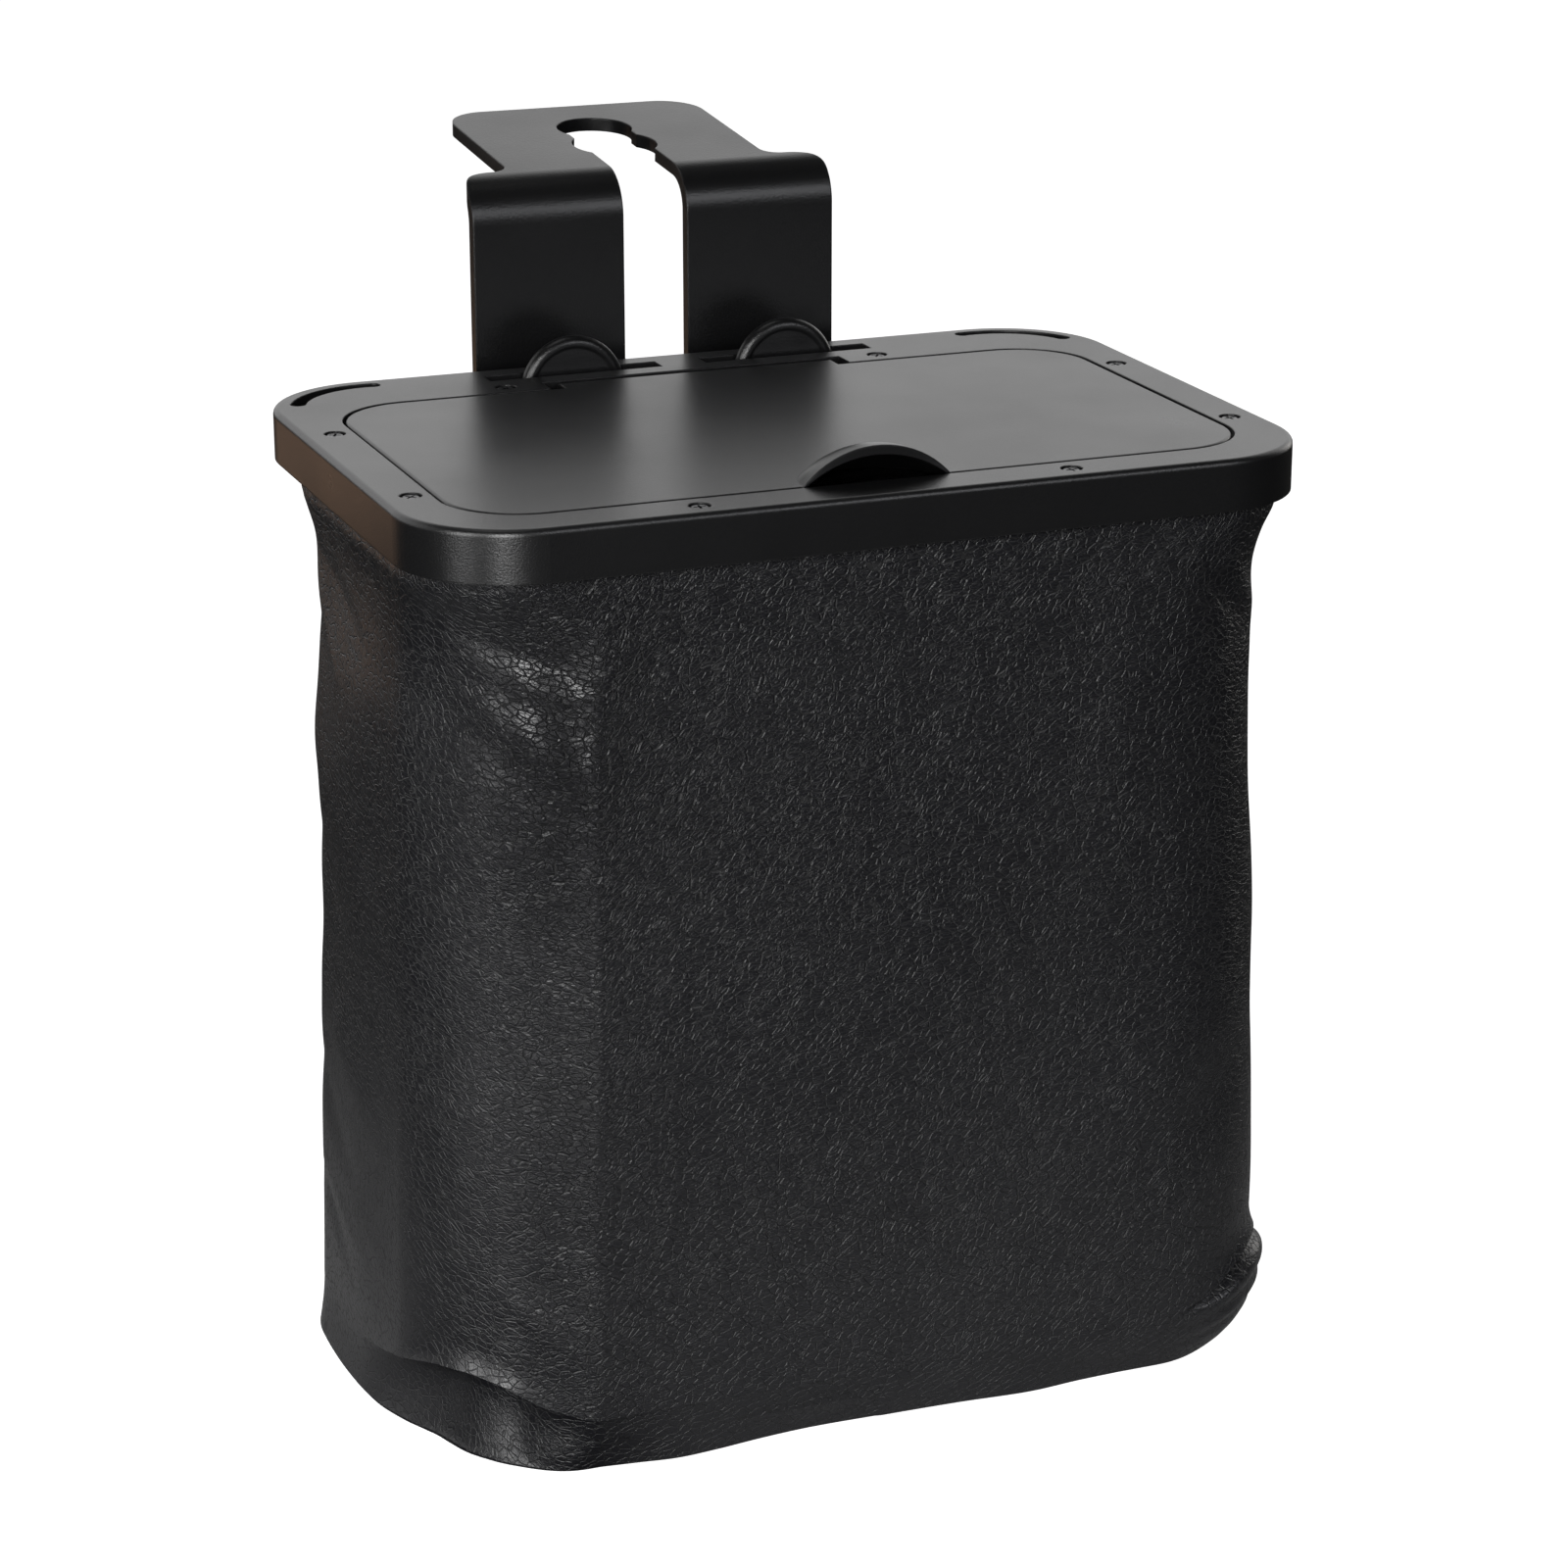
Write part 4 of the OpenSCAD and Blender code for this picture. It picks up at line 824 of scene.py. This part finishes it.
crossScrews = makeScrews()
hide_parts("frame_screws")
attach(crossScrews, "bin")
print("screws made", len(crossScrews.data.polygons), "faces")


# Floor, backdrop, light and camera

studio = {
    # The floor, in metres. Reflections and stray light see its shades, and the camera its pale values
    "floorSize": 12.0, "floorZ": -0.0005, "nearShade": 0.50, "farShade": 0.04, "nearReach": 0.13,
    "farReach": 0.38, "paleShade": 0.85, "paleGlow": 0.9,
    # Patches on the floor: the core is the share of the reach that is full
    "warmPlace": (-0.49, 1.02, 0.0), "warmReach": 0.26, "warmCore": 0.6, "warmGlow": (0.75, 0.47, 0.31),
    # The dark patch is a painted shadow: the bin's shade on the floor below the folded corner, which the
    # pocket there reflects
    "paintedShadowPlace": (-0.125, -0.080, 0.0), "paintedShadowReach": 0.08, "paintedShadowCore": 0.5, "paintedShadowLevel": 0.05,
    # The room, by the direction in which a ray leaves: forwards to behind, and low to high
    "worldFill": 0.16, "behindGlow": 1.0, "frontGlow": 0.03, "behindFrom": -0.1, "behindFull": 0.5,
    "lowFull": 0.55, "highFrom": 0.80,
}


def fadeNode(tree, value, fromMin, fromMax, toMin, toMax):
    node = tree.nodes.new("ShaderNodeMapRange")
    node.interpolation_type = "SMOOTHSTEP"
    for label, number in (("From Min", fromMin), ("From Max", fromMax), ("To Min", toMin), ("To Max", toMax)):
        node.inputs[label].default_value = number
    link(tree, value, node.inputs["Value"])
    return node.outputs[0]


def distanceNode(tree, source, place):
    node = tree.nodes.new("ShaderNodeVectorMath")
    node.operation = "DISTANCE"
    link(tree, source, node.inputs[0])
    node.inputs[1].default_value = place
    return node.outputs["Value"]


def sumOfShaders(tree, first, second):
    node = tree.nodes.new("ShaderNodeAddShader")
    link(tree, first.outputs[0], node.inputs[0])
    link(tree, second.outputs[0], node.inputs[1])
    return node.outputs[0]


def makeFloor(v=studio):
    # A pale table round the bin, dark further off, with a painted shadow below the folded corner and a warm
    # patch behind.
    # The camera sees it white
    material, tree, shader = newMaterial("paleFloor")
    tree.nodes.remove(shader)
    output = tree.nodes["Material Output"]
    path = tree.nodes.new("ShaderNodeLightPath")
    place = tree.nodes.new("ShaderNodeTexCoord")

    def spot(middle, near, far, nearValue, farValue):
        away = distanceNode(tree, place.outputs["Object"], middle)
        return fadeNode(tree, away, near, far, nearValue, farValue)

    table = spot((0, 0, 0), v["nearReach"], v["farReach"], v["nearShade"], v["farShade"])
    # Painted shadow on the floor below the folded corner, seen only by reflections and stray light
    dark = spot(v["paintedShadowPlace"], v["paintedShadowReach"] * v["paintedShadowCore"], v["paintedShadowReach"], v["paintedShadowLevel"], 1)
    warm = spot(v["warmPlace"], v["warmReach"] * v["warmCore"], v["warmReach"], 1, 0)
    shade = mathNode(tree, "MULTIPLY", table, dark)
    grey = tree.nodes.new("ShaderNodeCombineColor")
    for k in range(3):
        link(tree, shade, grey.inputs[k])
    matt = tree.nodes.new("ShaderNodeBsdfDiffuse")
    link(tree, grey.outputs[0], matt.inputs["Color"])
    patch = tree.nodes.new("ShaderNodeEmission")
    patch.inputs["Color"].default_value = (*v["warmGlow"], 1)
    link(tree, warm, patch.inputs["Strength"])
    pale = tree.nodes.new("ShaderNodeBsdfDiffuse")
    pale.inputs["Color"].default_value = (*[v["paleShade"]] * 3, 1)
    glow = tree.nodes.new("ShaderNodeEmission")
    glow.inputs["Strength"].default_value = v["paleGlow"]
    choose = tree.nodes.new("ShaderNodeMixShader")
    link(tree, path.outputs["Is Camera Ray"], choose.inputs["Fac"])
    link(tree, sumOfShaders(tree, matt, patch), choose.inputs[1])
    link(tree, sumOfShaders(tree, pale, glow), choose.inputs[2])
    link(tree, choose.outputs[0], output.inputs["Surface"])
    half = v["floorSize"] / 2
    corners = [(half * x, half * y, v["floorZ"]) for x, y in ((-1, -1), (1, -1), (1, 1), (-1, 1))]
    floor = addMesh("floor", corners, [(0, 1, 2, 3)], material, smooth=False)


def makeWorld(v=studio):
    world = bpy.data.worlds.new("studio")
    bpy.context.scene.world = world
    world.use_nodes = True
    wt = world.node_tree
    background = wt.nodes["Background"]
    path = wt.nodes.new("ShaderNodeLightPath")
    place = wt.nodes.new("ShaderNodeTexCoord")
    split = wt.nodes.new("ShaderNodeSeparateXYZ")
    link(wt, place.outputs["Generated"], split.inputs[0])
    # Reflections see a pale wall low behind the bin and a dark room over and in front of it
    behind = fadeNode(wt, split.outputs["Y"], v["behindFrom"], v["behindFull"], 0.0, 1.0)
    low = fadeNode(wt, split.outputs["Z"], v["lowFull"], v["highFrom"], 1.0, 0.0)
    wall = mathNode(wt, "MULTIPLY", mathNode(wt, "MULTIPLY", behind, low), v["behindGlow"])
    wall = mathNode(wt, "MAXIMUM", wall, v["frontGlow"])
    glossy = mathNode(wt, "MULTIPLY", path.outputs["Is Glossy Ray"], wall)
    notGlossy = mathNode(wt, "SUBTRACT", 1.0, path.outputs["Is Glossy Ray"])
    light = mathNode(wt, "ADD", glossy, mathNode(wt, "MULTIPLY", notGlossy, v["worldFill"]))
    seen = mathNode(wt, "MAXIMUM", path.outputs["Is Camera Ray"], path.outputs["Is Transmission Ray"])
    link(wt, mathNode(wt, "MAXIMUM", light, seen), background.inputs["Strength"])
    background.inputs["Color"].default_value = (1, 1, 1, 1)


def areaLight(name, place, target, size, power, colour):
    data = bpy.data.lights.new(name, "AREA")
    data.shape = "RECTANGLE"
    data.size, data.size_y = size
    data.energy = power
    data.color = colour
    obj = bpy.data.objects.new(name, data)
    obj.location = place
    obj.rotation_euler = (Vector(target) - Vector(place)).to_track_quat("-Z", "Y").to_euler()
    bpy.context.scene.collection.objects.link(obj)


makeFloor()
makeWorld()
lamps = {
    # Place, target, width and height, power and colour
    "cornerLamp": ((-0.59, -1.158, 0.47), (0, 0, 0.16), (0.34, 0.9), 12.5, (1, 1, 1)),
    "leftLamp": ((-1.148, -0.61, 0.47), (0, 0, 0.16), (0.45, 0.9), 9.0, (1, 1, 1)),
    "lowFrontLamp": ((0.70, -1.70, 0.80), (0, 0, 0.2), (1.1, 0.4), 2.6, (0.95, 0.96, 1)),
    "highFrontLamp": ((0.70, -1.70, 1.20), (0, 0, 0.2), (1.1, 0.4), 4.6, (0.95, 0.96, 1)),
    "edgeLamp": ((1.30, 0.65, 0.45), (0, 0, 0.13), (0.3, 0.8), 0.9, (1, 0.95, 0.88)),
    "topLamp": ((-0.2, 0.2, 2.0), (0, 0, 0.2), (1.0, 0.8), 2, (1, 1, 1)),
}
for name, (place, target, size, power, colour) in lamps.items():
    areaLight(name, place, target, size, power, colour)

# The place is in metres, the turn in degrees, and the lens and the sensor in mm
view = {"place": (-0.3862, -0.9832, rimTop * mm + 0.2542), "turn": (71.43, 0, -21.58), "lens": 95.04,
        "shift": -0.0008, "sensor": 36, "nearClip": 0.01}
cameraData = bpy.data.cameras.new("photoCamera")
cameraData.lens = view["lens"]
cameraData.sensor_width = view["sensor"]
cameraData.shift_x = view["shift"]
cameraData.clip_start = view["nearClip"]
camera = bpy.data.objects.new("photoCamera", cameraData)
camera.location = view["place"]
camera.rotation_euler = [math.radians(a) for a in view["turn"]]
bpy.context.scene.collection.objects.link(camera)
bpy.context.scene.camera = camera
bpy.context.scene.view_settings.view_transform = "Standard"
print("stage and camera made")
